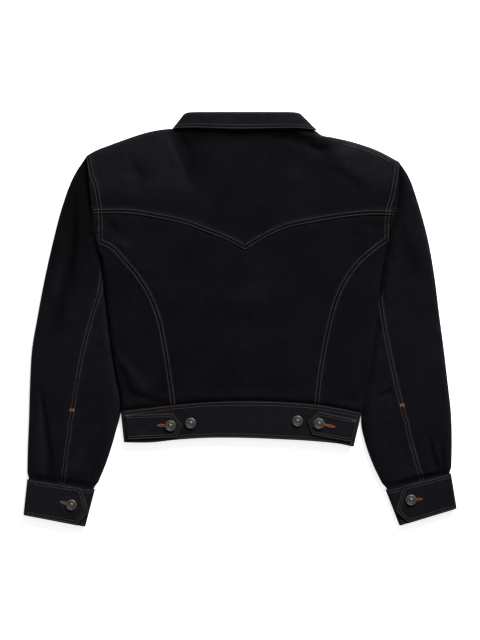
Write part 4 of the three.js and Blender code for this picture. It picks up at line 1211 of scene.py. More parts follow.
@dataclass(frozen=True)
class Back:
    """Yoke, centre panel and side panels of the back, with their topstitching."""

    SIDE_AREA = {Hand.LEFT: 0.0192, Hand.RIGHT: 0.0178}
    ON_FRONTS = ("cloth_front_left", "cloth_front_right")

    form: BodyForm
    finishes: Finishes
    rows_aside: float = 2.65
    shoulder_rows: tuple[float, float] = (3.6, 7.6)

    def build(self) -> None:
        """Builds every piece of the back."""
        self._yoke()
        self._centre()
        for hand in Hand:
            self._side(hand)
        self._stitches()

    def _wear_and_painted_light(self, grid: Grid) -> np.ndarray:
        """Tone: rubbed lighter on seams and folds, with painted highlights on the shoulders, painted shade by
        the collar and beside the left shoulder, and painted shade and highlights after the creases.
        """
        x, y = grid.x, grid.y
        leaning = x + 115 - 0.43 * (302 - y)
        # Painted highlights on both shoulders, where the light falls on them
        left = smooth(leaning, 8, -8) * smooth(y, 178, 224)
        right = smooth(x - 0.5 * (282 - y), 128, 158) * smooth(y, 196, 240)
        wear_and_painted_light = np.maximum(0.22 * left, 0.3 * right)
        for fell in self.form.fells:
            off = nearest_on(fell.line, x, y)[0]
            wear_and_painted_light = np.maximum(wear_and_painted_light, 0.22 * bell(np.abs(off) - fell.half, 1.6))
        edge = clear_of(self.form.edges, x, y)
        wear_and_painted_light = np.maximum(wear_and_painted_light, 0.3 * smooth(edge, 7, 1) * smooth(y, 60, 200))
        neck = clear_of([self.form.neck_line], x, y)
        # Painted shade under the collar
        wear_and_painted_light = wear_and_painted_light - 0.8 * smooth(neck, 38, 20) * smooth(np.abs(x - 12), 118, 84)
        # Painted shade beside the left shoulder's painted highlight, then painted shade in crease troughs and
        # painted highlights on their ridges
        painted_shade_beside = smooth(leaning, -6, 8) * smooth(x, -30, -72) * smooth(y, 214, 244)
        return wear_and_painted_light - 0.3 * painted_shade_beside + CREASE_PAINTED_LIGHT * creases(x, y)

    def _lay(self, name: str, grid: Grid, level: Optional[np.ndarray], cut: Cut) -> None:
        """Lays one panel of the back."""
        outer = lifted(grid.plan, self.form.top(grid.x, grid.y))
        shell = Shell(name, outer, CLOTH, level=level, wear_and_painted_light=self._wear_and_painted_light(grid), grain=grid.plan)
        lay_cloth(shell, self.finishes)

    def _yoke(self) -> None:
        """The yoke, from the shoulders and the neck down to its pointed seam."""
        form = self.form
        patch = Patch(form.yoke_top, form.yoke_seam,
                      lambda t: form.armhole[Hand.LEFT].along(t * form.yoke_share[Hand.LEFT]),
                      lambda t: form.armhole[Hand.RIGHT].along(t * form.yoke_share[Hand.RIGHT]))
        columns = Steps(270, halves=True)
        grid = patch.grid(columns, Steps(46, FOLD_ROWS, SEAM_ROWS))
        level = np.zeros(grid.x.shape, bool)
        s = columns.shares(Patch.TYPICAL)[0]
        level[0] = (s < form.SHOULDER_SHARE) | (s > 1 - form.SHOULDER_SHARE)
        self._lay("back_yoke", grid, level, Cut(0.50, 0.20, 0.070, self.ON_FRONTS))

    def _centre(self) -> None:
        """The centre panel, between the yoke, the side seams and the waistband."""
        form = self.form

        def edge(hand: Hand) -> Callable[[np.ndarray], np.ndarray]:
            """Side edge: a little of the armhole, and then the side seam."""
            def at(t: np.ndarray) -> np.ndarray:
                """Points of the edge, from the yoke down."""
                part = form.ARMPIT_SHARE
                arm = form.armhole[hand].along(mix(form.yoke_share[hand], form.side_share[hand], t / part))
                seam = form.seam[hand].along((t - part) / (1 - part))
                return np.where((t < part)[..., None], arm, seam)
            return at

        patch = Patch(form.yoke_seam,
                      lambda s: form.hem.along(mix(form.hem_share[Hand.LEFT], form.hem_share[Hand.RIGHT], s)),
                      edge(Hand.LEFT), edge(Hand.RIGHT))
        grid = patch.grid(Steps(130, SEAM_ROWS, SEAM_ROWS, halves=True), Steps(88, SEAM_ROWS, HEM_ROWS))
        self._lay("back_centre", grid, None, Cut(0.47, 0.32, 0.0903, self.ON_FRONTS))

    def _side(self, hand: Hand) -> None:
        """A side panel, between the side fold, the side seam and the waistband."""
        form = self.form
        patch = Patch(lambda s: form.armhole[hand].along(mix(1, form.side_share[hand], s)),
                      lambda s: form.hem.along(mix(hand.hem_end, form.hem_share[hand], s)),
                      form.fold[hand].along, form.seam[hand].along)
        grid = patch.grid(Steps(24, FOLD_ROWS, SEAM_ROWS), Steps(88, (0, 1.5, 3), HEM_ROWS))
        self._lay(f"back_side_{hand.value}", grid, grid.in_columns(0),
                  Cut(0.13, 0.27, self.SIDE_AREA[hand], (f"cloth_front_{hand.value}",)))

    def _yoke_rows(self, sewing: Sewing) -> None:
        """Two rows along the yoke's seam, which meet below its point."""
        form = self.form
        tip = YOKE_SEAM[Hand.LEFT][-1][0]
        for off in (-self.rows_aside, self.rows_aside):
            for hand in Hand:
                path = inset(form.yoke[hand].line(), off)
                inner = path[path[:, 0] * hand.outward > tip * hand.outward]
                meet = inner[-1] if hand is Hand.LEFT else inner[0]
                before = inner[-4] if hand is Hand.LEFT else inner[3]
                slope = (meet[1] - before[1]) / (meet[0] - before[0])
                point = np.array([tip, meet[1] + slope * (tip - meet[0])])
                path = np.vstack([inner, point]) if hand is Hand.LEFT else np.vstack([point, inner])
                sewing.row(self._inside_armhole(path, hand), form.top)

    def _inside_armhole(self, path: np.ndarray, hand: Hand) -> np.ndarray:
        """The part of a path that lies inside the armhole's edge."""
        off = nearest_on(self.form.armhole[hand].line(), path[:, 0], path[:, 1])[0] * -hand.outward
        return path[off > 1.5]

    def _stitches(self) -> None:
        """Topstitching of the yoke, the side seams and the armholes."""
        form = self.form
        sewing = Sewing("stitches_back")
        self._yoke_rows(sewing)
        for hand in Hand:
            seam = form.seam[hand].line()
            corner = form.armhole_rows[hand][-1]
            seam = seam[np.abs(seam[:, 0]) < abs(corner[0]) - 5]
            sewing.pair(np.vstack([form.armhole_rows[hand], seam]), form.top, self.rows_aside)
        shoulder = form.shoulder[Hand.RIGHT].line()[60:96]
        for off in self.shoulder_rows:
            sewing.row(inset(shoulder, -off), form.top)
        sewing.build(self.finishes.thread)


@dataclass(frozen=True)
class Fronts:
    """The two fronts underneath, one closed over the other."""

    AREA = {Hand.LEFT: 0.1022, Hand.RIGHT: 0.1012}

    form: BodyForm
    finishes: Finishes
    shoulder_part: float = 0.45
    neck_part: float = 0.85
    wide: float = 240.0
    long: float = 400.0

    def build(self) -> None:
        """Builds both fronts."""
        for hand in Hand:
            self._front(hand)

    def _front(self, hand: Hand) -> None:
        """One front, from the side fold to past the closing."""
        form = self.form
        raised = BUTTON_LIFT if hand is Hand.LEFT else BUTTON_LIFT + STEP
        edge_x = MIDDLE - hand.outward * OVERLAP
        arm, fold = form.armhole[hand], form.fold[hand]
        arm_share = arm.length / (arm.length + fold.length)
        neck_end = form.collar.neck(np.array(hand.outward * CollarForm.END))
        corner = np.array([edge_x, neck_end[1] - 1])
        hem_end = form.hem.nearest(edge_x, HEM_Y)
        hem_turn = form.hem.nearest(neck_end[0], HEM_Y)
        shoulder_part, neck_part = self.shoulder_part, self.neck_part

        def top(s: np.ndarray) -> np.ndarray:
            """Shoulder, neck seam and the short edge to the closing."""
            shoulder = form.shoulder[hand].along(1 - s / shoulder_part)
            share = np.clip((s - shoulder_part) / (neck_part - shoulder_part), 0, 1)
            neck = form.collar.neck(hand.outward * mix(form.NECK_POINT, CollarForm.END, share))
            last = mix(neck_end, corner, ((s - neck_part) / (1 - neck_part))[..., None])
            part = np.where((s <= neck_part)[..., None], neck, last)
            return np.where((s < shoulder_part)[..., None], shoulder, part)

        def bottom(s: np.ndarray) -> np.ndarray:
            """Along the hem, from the side to the closing."""
            first = mix(hand.hem_end, hem_turn, s / neck_part)
            last = mix(hem_turn, hem_end, (s - neck_part) / (1 - neck_part))
            return form.hem.along(np.where(s < neck_part, first, last))

        def outer(t: np.ndarray) -> np.ndarray:
            """Armhole and then the side fold."""
            return np.where((t < arm_share)[..., None], arm.along(t / arm_share),
                            fold.along((t - arm_share) / (1 - arm_share)))

        last = bottom(np.ones(()))
        patch = Patch(top, bottom, outer, lambda t: mix(corner, last, t[..., None]))
        near = np.array(FOLD_ROWS) / self.wide
        s = np.unique(np.concatenate([near, np.linspace(near[-1], shoulder_part, 24),
                                      np.linspace(shoulder_part, neck_part, 36),
                                      np.linspace(neck_part, 1, 6)]))
        t = np.unique(np.concatenate([np.array(FOLD_ROWS) / self.long,
                                      np.linspace(near[-1], arm_share, 30),
                                      np.linspace(arm_share, 1, 56)]))
        s, t = np.meshgrid(s, t)
        plan = patch.at(s, t)
        outer_face = lifted(plan, form.under(plan[..., 0], plan[..., 1], raised))
        level = np.zeros(s.shape, bool)
        level[:, 0] = t[:, 0] > arm_share * 0.999
        level[0] = s[0] < shoulder_part
        shell = Shell(f"front_{hand.value}", outer_face, CLOTH, faces=-1, check=(60, 30), level=level,
                      grain=plan)
        lay_cloth(shell, self.finishes)


class Sleeve:
    """A sleeve in two pieces, with its hind seam and the gathers at its cuff."""

    UPPER_AREA = {Hand.LEFT: 0.0646, Hand.RIGHT: 0.0605}
    UNDER_AREA = {Hand.LEFT: 0.0405, Hand.RIGHT: 0.0357}
    TUCKED_AT = (0, 0.06, 0.76, 0.88)
    TUCKED = (0.3, 1, 1, 0)
    IN_CUFF = 0.968
    TACK_HALF = 2.6
    BAR_HALF = 2.4
    TACK_WIDE = 1.8

    def __init__(self, hand: Hand, form: BodyForm, finishes: Finishes) -> None:
        """Makes the sleeve's curves and the line of its hind seam.

        Args:
            hand: which sleeve.
            form: the body, whose armhole it shares.
            finishes: the jacket's finishes.
        """
        self.hand, self.form, self.finishes = hand, form, finishes
        self.rows = SLEEVE[hand]
        self.outer = form.sleeve_outer[hand]
        self.inner = Curve([row[1] for row in self.rows])
        self.armhole = form.armhole[hand]
        self.outer_lines = [form.shoulder[hand].line(), self.outer.line(200)]
        self.inner_lines = [self.section(np.linspace(0, 1, 320))[1]]
        self.armhole_line = self.armhole.line()
        t = np.linspace(0.05, 1, 160)
        outer, inner, _, hind = self.section(t)
        wide = np.linalg.norm(outer - inner, axis=-1)
        self.hind_line = self.plan(1 - hind / wide, t)
        run = self.hind_line if hand is Hand.LEFT else self.hind_line[::-1]
        self.fell = Fell(run, rows=2.4, half=3.9, seed=41 + hand.outward)

    def section(self, t: np.ndarray) -> tuple[np.ndarray, np.ndarray, np.ndarray, np.ndarray]:
        """Outer fold, inner fold, height and hind seam's distance at shares of the length."""
        share = np.linspace(0, 1, len(self.rows))
        high = np.interp(t, share, [row[2] for row in self.rows])
        hind = np.interp(t, share, [row[3] for row in self.rows])
        outer, inner = self.outer.at(t), self.inner.at(t)
        run = unit(self.inner.at(t + 0.01) - self.inner.at(t - 0.01))
        aside = np.stack([run[..., 1], -run[..., 0]], -1) * self.hand.outward
        tuck = np.interp(t, TUCK_AT, TUCK)
        seam_shift = tuck * (aside * unit(inner - outer)).sum(-1)
        return outer, inner + aside * tuck[..., None], high, hind + seam_shift

    def wide(self, t: np.ndarray) -> np.ndarray:
        """Distance between the folds."""
        outer, inner, _, _ = self.section(t)
        return np.linalg.norm(outer - inner, axis=-1)

    def plan(self, share: np.ndarray, t: np.ndarray) -> np.ndarray:
        """Plan of the sleeve, where share 0 is the outer fold and share 1 the inner fold."""
        outer, inner, _, _ = self.section(t)
        start = mix(self.armhole.along(np.zeros(())), self.armhole.along(np.ones(())), share[..., None])
        bend = self.armhole.along(share) - start
        middle = mix(self.section(t)[0], self.section(t)[1], 0.5)
        plan = mix(outer, inner, share[..., None]) + bend * (1 - smooth(t, 0, 0.3))[..., None]
        return mix(plan, middle, (0.05 * smooth(t, self.IN_CUFF, 0.99))[..., None])

    def _relief(self, x: np.ndarray, y: np.ndarray, t: np.ndarray) -> np.ndarray:
        """What the slack, the hind seam and the gathers add to the height."""
        lift = 0.9 * ripple(x, y * 0.6, 52, 51) + slack(x, y, (0.4, 25, 53), (0.13, 11, 55))
        lift = lift + self.fell.lift(x, y) * smooth(t, 0.16, 0.3)
        gather = ripple(x, y * 0.12, 8, 57) + 0.7 * ripple(x, y * 0.1, 17, 59)
        lift = lift + gather * (0.6 * smooth(t, 0.84, 0.97))
        near = clear_of([self.armhole_line], x, y)
        least = -0.5 if self.hand is Hand.LEFT else 1.3
        deep = mix(least, 4.1, smooth(y, 140, 190))
        head = -deep * bell(near, 7) - 0.9 * bell(near, 26) + 0.5 * ripple(x, y, 12, 61) * bell(near, 30)
        return lift + head

    def height(self, x: np.ndarray, y: np.ndarray, t: np.ndarray, above: bool) -> np.ndarray:
        """Height of the outer face, on top or underneath."""
        from_outer, from_inner = clear_of(self.outer_lines, x, y), clear_of(self.inner_lines, x, y)
        tucked = np.interp(t, self.TUCKED_AT, self.TUCKED)
        outer = rounded(from_outer / (ROLL if above else UNDER_ROLL))
        pit = armpit(x, y)
        steep = rounded(from_inner / (mix(ROLL, ARMPIT_ROLL, pit) if above else UNDER_ROLL))
        inner = mix(steep, rounded(from_inner / TUCK_ROLL) ** 2, tucked) if above else steep
        outer_tip = mix(TIP, CUFF_HIGH / 2, smooth(t, 0.8, 1))
        inner_tip = mix(mix(TIP, TUCK_TIP, tucked), ARMPIT_TIP, pit if above else 0)
        end = smooth(t, self.IN_CUFF, 0.988)
        if not above:
            low = outer_tip * (1 - outer) + inner_tip * (1 - inner)
            return mix(low, 2.4 * outer + 3.4 * (1 - outer), end)
        arch = 1.9 * (4 * from_outer * from_inner / (from_outer + from_inner + 0.01) ** 2 - 0.7)
        full = self.section(t)[2] + arch * smooth(t, 0, 0.06) + creases(x, y) + self._relief(x, y, t)
        full = mix(full, CUFF_HIGH - DOUBLED - 0.4 + 0.25 * ripple(x, y, 9, 63), end)
        return full - (full - outer_tip) * (1 - outer) - (full - inner_tip) * (1 - inner)

    def top(self, x: np.ndarray, y: np.ndarray) -> np.ndarray:
        """Height of the upper face at points in plan."""
        middle = mix(self.outer.line(240), self.inner.line(240), 0.6)
        run = nearest_on(middle, x, y)[1]
        steps = np.linalg.norm(np.diff(middle, axis=0), axis=1)
        runs = np.concatenate([[0], np.cumsum(steps)])
        t = np.interp(run, runs, np.linspace(0, 1, len(runs)))
        return self.height(x, y, t, True)

    def _points(self, share: np.ndarray, t: np.ndarray, above: bool) -> np.ndarray:
        """Points of the outer face, whose upper end reaches a little under the body's edge."""
        plan = self.plan(share, t)
        if above:
            plan[..., 0] -= self.hand.outward * 9 * share * (1 - share) * smooth(t, 0.02, 0)
        return lifted(plan, self.height(plan[..., 0], plan[..., 1], t, above))

    def build(self) -> None:
        """Builds both pieces and the stitches."""
        t = np.unique(np.concatenate([np.linspace(0, 0.06, 24), np.linspace(0.06, 0.3, 40),
                                      np.linspace(0.3, 0.93, 110), np.linspace(0.93, 1, 34)]))
        self._upper(t)
        self._under(t)
        self._stitches()

    def _shares(self, t: np.ndarray, near: Sequence[float], end: np.ndarray, count: int) -> np.ndarray:
        """Shares across, from a fold by close rows to an end share."""
        first = np.asarray(near)[None] / self.wide(t)[:, None]
        first = first * np.minimum(1, 0.8 * end[:, None] / first[:, -1:])
        part = np.linspace(0, 1, count + 1)[None, 1:]
        return np.concatenate([first, mix(first[:, -1:], end[:, None], part)], 1)

    def _wear_and_painted_light(self, x: np.ndarray, y: np.ndarray) -> np.ndarray:
        """Tone on top: rubbed lighter along the folds and the seam, painted shade by the armhole, the inner
        fold and the left sleeve's head, and painted shade and highlights after the creases.
        """
        left = self.hand is Hand.LEFT
        edge = clear_of(self.outer_lines + self.inner_lines, x, y)
        off = nearest_on(self.fell.line, x, y)[0]
        wear_and_painted_light = np.maximum(0.15 * smooth(edge, 8, 1), 0.22 * bell(np.abs(off) - self.fell.half, 1.6))
        # Painted shade on the left sleeve, deepening towards its head; elsewhere both sleeves are drawn a
        # little lighter
        wear_and_painted_light = wear_and_painted_light + (0.1 - 0.75 * smooth(y, 20, 190) if left else 0.08)
        # Painted shade beside the armhole and the inner fold, where the body's edge stands over the sleeve,
        # then painted shade and highlights after the creases
        painted_shade_by_seam = bell(clear_of([self.armhole_line] + self.inner_lines, x, y), 8)
        low = 150 if left else 50
        return wear_and_painted_light - 0.85 * painted_shade_by_seam * smooth(y, low - 25, low + 25) + CREASE_PAINTED_LIGHT * creases(x, y)

    def _lay(self, name: str, t: np.ndarray, above: np.ndarray, below: np.ndarray, check: tuple[int, int],
             cut: Cut) -> None:
        """Lays a piece that wraps round a fold.

        Args:
            name: the solid that it stands for.
            t: shares of the sleeve's length, one for each row.
            above: shares across of the part on top.
            below: shares across of the part underneath.
            check: a grid point whose outer face looks up.
            cut: what it was cut to; not used.
        """
        rows = t[:, None]
        top, under = self._points(above, rows + 0 * above, True), self._points(below, rows + 0 * below, False)
        outer = np.concatenate([top[:, ::-1], under[:, 1:]], 1)
        wear_and_painted_light = self._wear_and_painted_light(top[..., 0], top[..., 1])
        wear_and_painted_light = np.concatenate([wear_and_painted_light[:, ::-1], np.zeros(under[:, 1:, 0].shape)], 1)
        lay_cloth(Shell(name, outer, CLOTH, check=check, wear_and_painted_light=wear_and_painted_light), self.finishes)

    def _upper(self, t: np.ndarray) -> None:
        """The upper piece, round the outer fold."""
        wide, hind = self.wide(t), self.section(t)[3]
        above = self._shares(t, FOLD_ROWS, 1 - hind / wide, 44)
        below = self._shares(t, FOLD_ROWS[:7], np.full_like(t, FORE_SEAM), 14)
        cut = Cut(0.25, 0.56, self.UPPER_AREA[self.hand], (f"cloth_sleeve_under_{self.hand.value}", "floor"))
        self._lay(f"sleeve_upper_{self.hand.value}", t, above, below, (80, 10), cut)

    def _under(self, t: np.ndarray) -> None:
        """The under piece, round the inner fold."""
        wide, hind = self.wide(t), self.section(t)[3]
        near = tuple(0.9 * row for row in FOLD_ROWS)
        above = 1 - self._shares(t, near, hind / wide, 20)
        below = 1 - self._shares(t, FOLD_ROWS[:7], np.full_like(t, 1 - FORE_SEAM), 14)
        cut = Cut(0.18, 0.42, self.UNDER_AREA[self.hand], ("floor",))
        self._lay(f"sleeve_under_{self.hand.value}", t, above, below, (120, 4), cut)

    def _stitches(self) -> None:
        """Two rows along the hind seam, and the bar tack above the cuff's slit."""
        sewing = Sewing(f"stitches_sleeve_{self.hand.value}")
        skip = int((HIND_ROWS_FROM[self.hand] - 0.05) / 0.95 * len(self.hind_line))
        sewing.pair(self.hind_line[skip:], self.top, self.fell.rows)
        sewing.build(self.finishes.thread)
        tack = Sewing(f"tack_sleeve_{self.hand.value}")
        x, y = SLEEVE_TACK[self.hand]
        half, lean = self.TACK_HALF, 0.12 * self.hand.outward
        for off in (-self.fell.rows, self.fell.rows):
            bar = [(x + off - half * lean, y + half), (x + off + half * lean, y - half)]
            tack.satin(np.array(bar), self.TACK_WIDE, self.top)
        tack.satin(np.array([(x - self.BAR_HALF, y), (x + self.BAR_HALF, y)]), self.TACK_WIDE, self.top)
        tack.build(self.finishes.tack)


def buttonhole(sewing: Sewing, centre: tuple[float, float], tip: tuple[float, float], height: Height) -> None:
    """Sews a buttonhole: satin round a narrow slit, from under the button to its tip.

    Args:
        sewing: the thread.
        centre: middle of the button.
        tip: the end that shows.
        height: height of the cloth.
    """
    centre, tip = np.array(centre, float), np.array(tip, float)
    along = unit(tip - centre)
    aside = np.array([-along[1], along[0]])
    slit, eyelet = 1.15, 1.7
    steps = ((-3, slit), (0.52, slit), (0.74, eyelet), (1, 0.0), (0.74, -eyelet), (0.52, -slit), (-3, -slit))
    reach = np.linalg.norm(tip - centre)
    path = np.array([centre + along * (share * reach if share > 0 else share) + aside * off
                     for share, off in steps])
    sewing.satin(path, 1.25, height, 0.45)


class Cuff:
    """A cuff: a doubled strip wrapped round the sleeve's end, its pointed end over its other end."""

    AREA = {Hand.LEFT: 0.0127, Hand.RIGHT: 0.0119}
    DEPTH = 56.0
    ROLL = 4.5
    FLAT_FROM = 14.0
    ROWS = (2.4, 6.2)
    UNDER_END = 0.62
    CORNERS = {
        Hand.LEFT: ((-341.6, -260.8), (-233.5, -277), (-347.2, -314), (-248, -333)),
        Hand.RIGHT: ((339, -251.2), (234.8, -277.4), (347.6, -303.6), (255.8, -331.4)),
    }
    REACH = {Hand.LEFT: (0.81, 1.005, 0.87), Hand.RIGHT: (0.74, 0.985, 0.85)}
    WEAR = {Hand.LEFT: 0.34, Hand.RIGHT: 0.22}
    POINT_AT = 0.6
    LAP = 4.0
    BUTTON = {Hand.LEFT: (-269.9, -297.6), Hand.RIGHT: (273.6, -289.6)}
    HOLE_TIP = {Hand.LEFT: (-287.5, -292.8), Hand.RIGHT: (292.5, -288)}

    def __init__(self, hand: Hand, finishes: Finishes) -> None:
        """Keeps the cuff's corners.

        Args:
            hand: which cuff.
            finishes: the jacket's finishes.
        """
        self.hand, self.finishes = hand, finishes
        corners = [np.array(corner, float) for corner in self.CORNERS[hand]]
        self.top_outer, self.top_inner, self.bottom_outer, self.bottom_inner = corners
        self.top_outer = self.top_outer + self.LAP * unit(self.top_outer - self.bottom_outer)
        self.top_inner = self.top_inner + self.LAP * unit(self.top_inner - self.bottom_inner)

    def place(self, share: Number, depth: Number) -> np.ndarray:
        """Plan point at a share from the outer fold and a share of the depth."""
        share, depth = np.asarray(share)[..., None], np.asarray(depth)[..., None]
        outer = mix(self.top_outer, self.bottom_outer, depth)
        return mix(outer, mix(self.top_inner, self.bottom_inner, depth), share)

    def reach(self, depth: Number) -> Number:
        """How far across the pointed end reaches, as a share."""
        return np.interp(depth, (0, self.POINT_AT, 1), self.REACH[self.hand])

    def _wrinkle(self, plan: np.ndarray, depth: np.ndarray) -> np.ndarray:
        """Slight unevenness of the doubled cloth and the pull of its rows."""
        x, y = plan[..., 0], plan[..., 1]
        deep = depth * self.DEPTH
        rise = self.DEPTH - deep
        pull = ripple(x, y, 7, 71 + self.hand.outward)
        groove = grooves(deep, self.ROWS) + grooves(rise, self.ROWS)
        return (slack(x, y, (0.5, 34, 73), (0.16, 15, 75)) - 0.28 * groove
                + 0.3 * pull * (bell(deep - 4, 5) + bell(rise - 4, 5)))

    def top(self, x: np.ndarray, y: np.ndarray) -> np.ndarray:
        """Height of the cuff's upper face."""
        plan = np.stack([x, y], -1)
        down = unit(self.bottom_outer - self.top_outer)
        depth = ((plan - self.top_outer) @ down) / self.DEPTH
        edge = np.abs(nearest_on(np.stack([self.top_outer, self.bottom_outer]), x, y)[0])
        turn = rounded(np.minimum(edge / self.ROLL, 1))
        return CUFF_HIGH / 2 * (1 + turn) + self._wrinkle(plan, depth) * smooth(edge, 2, 8)

    def lap_top(self, x: np.ndarray, y: np.ndarray) -> np.ndarray:
        """Height of the strip's other end, which lies under the point."""
        edge = np.abs(nearest_on(np.stack([self.top_inner, self.bottom_inner]), x, y)[0])
        return (CUFF_HIGH - DOUBLED - GAP) / 2 * (1 + rounded(np.minimum(edge / self.ROLL, 1)))

    def build(self) -> None:
        """Builds the strip, its rows, its buttonhole and its button."""
        self._strip()
        self._stitches()
        Button(f"button_cuff_{self.hand.value}", self.BUTTON[self.hand], CUFF_HIGH + GAP).build(self.finishes)

    def _strip(self) -> None:
        """The strip, from its pointed end over the outer fold, underneath, and up round the inner fold."""
        depth = Steps(26, RIM_ROWS, RIM_ROWS).shares(self.DEPTH)[0]
        outer = self.place(np.zeros_like(depth), depth)
        inner = self.place(np.ones_like(depth), depth)
        wide = np.linalg.norm(inner - outer, axis=-1)[:, None]
        reach = self.reach(depth)[:, None] * wide
        half, lower = CUFF_HIGH / 2, CUFF_HIGH - DOUBLED - GAP
        rims = np.array(RIM_ROWS)[None]
        first = reach - rims
        part = np.linspace(0, 1, 30)[None, 1:]
        ones = np.ones_like(wide)
        turn = np.linspace(math.pi / 2, -math.pi / 2, 17)[None]
        back = -turn
        flat = mix(first[:, -1:], self.FLAT_FROM, part)
        near = np.linspace(self.FLAT_FROM, self.ROLL, 5)[None, 1:-1] * ones
        across = [first, flat, near, self.ROLL * (1 - np.cos(turn)) * ones]
        high = [CUFF_HIGH * np.ones_like(shares) for shares in across[:3]]
        high.append(half * (1 + np.sin(turn)) * ones)
        under = mix(self.ROLL, wide - self.ROLL, np.linspace(0, 1, 22)[None, 1:-1])
        across += [under, wide - self.ROLL * (1 - np.cos(back))]
        high += [np.zeros_like(under), lower / 2 * (1 + np.sin(back)) * ones]
        last = mix(wide - self.ROLL, self.UNDER_END * wide, np.linspace(0, 1, 14)[None, 1:])
        across.append(last)
        high.append(lower * np.ones_like(last))
        across, high = np.concatenate(across, 1), np.concatenate(high, 1)
        depths = depth[:, None] + 0 * across
        plan = self.place(across / wide, depths)
        count = first.shape[1] + part.shape[1]
        high[:, :count] += (self._wrinkle(plan, depths) * smooth(across, 2, 8))[:, :count]
        rim = np.minimum(depths, 1 - depths) * self.DEPTH
        start = np.full(across.shape, FAR)
        start[:, :rims.shape[1]] = rims
        rim = np.minimum(rim, start)
        shell = Shell(f"cuff_{self.hand.value}", lifted(plan, high), DOUBLED, check=(14, 4), rim=rim,
                      wear_and_painted_light=self.WEAR[self.hand] + 0.3 * smooth(rim, 5, 0.3))
        lay_cloth(shell, self.finishes)

    def _stitches(self) -> None:
        """Two rows round the strip's upper face, and the buttonhole."""
        sewing = Sewing(f"stitches_cuff_{self.hand.value}")
        point = self.POINT_AT
        corners = ((0.035, 0), (self.reach(0), 0), (self.reach(point), point), (self.reach(1), 1), (0.035, 1))
        outline = np.array([self.place(share, depth) for share, depth in corners])
        for off in self.ROWS:
            sewing.row(inset(outline, off * self.hand.outward), self.top)
            for depth in (off / self.DEPTH, 1 - off / self.DEPTH):
                start = self.reach(depth) + 0.015
                sewing.row(self.place(np.array([start, 0.975]), depth), self.lap_top)
        sewing.build(self.finishes.thread)
        hole = Sewing(f"buttonhole_cuff_{self.hand.value}")
        buttonhole(hole, self.BUTTON[self.hand], self.HOLE_TIP[self.hand], self.top)
        hole.build(self.finishes.tack)


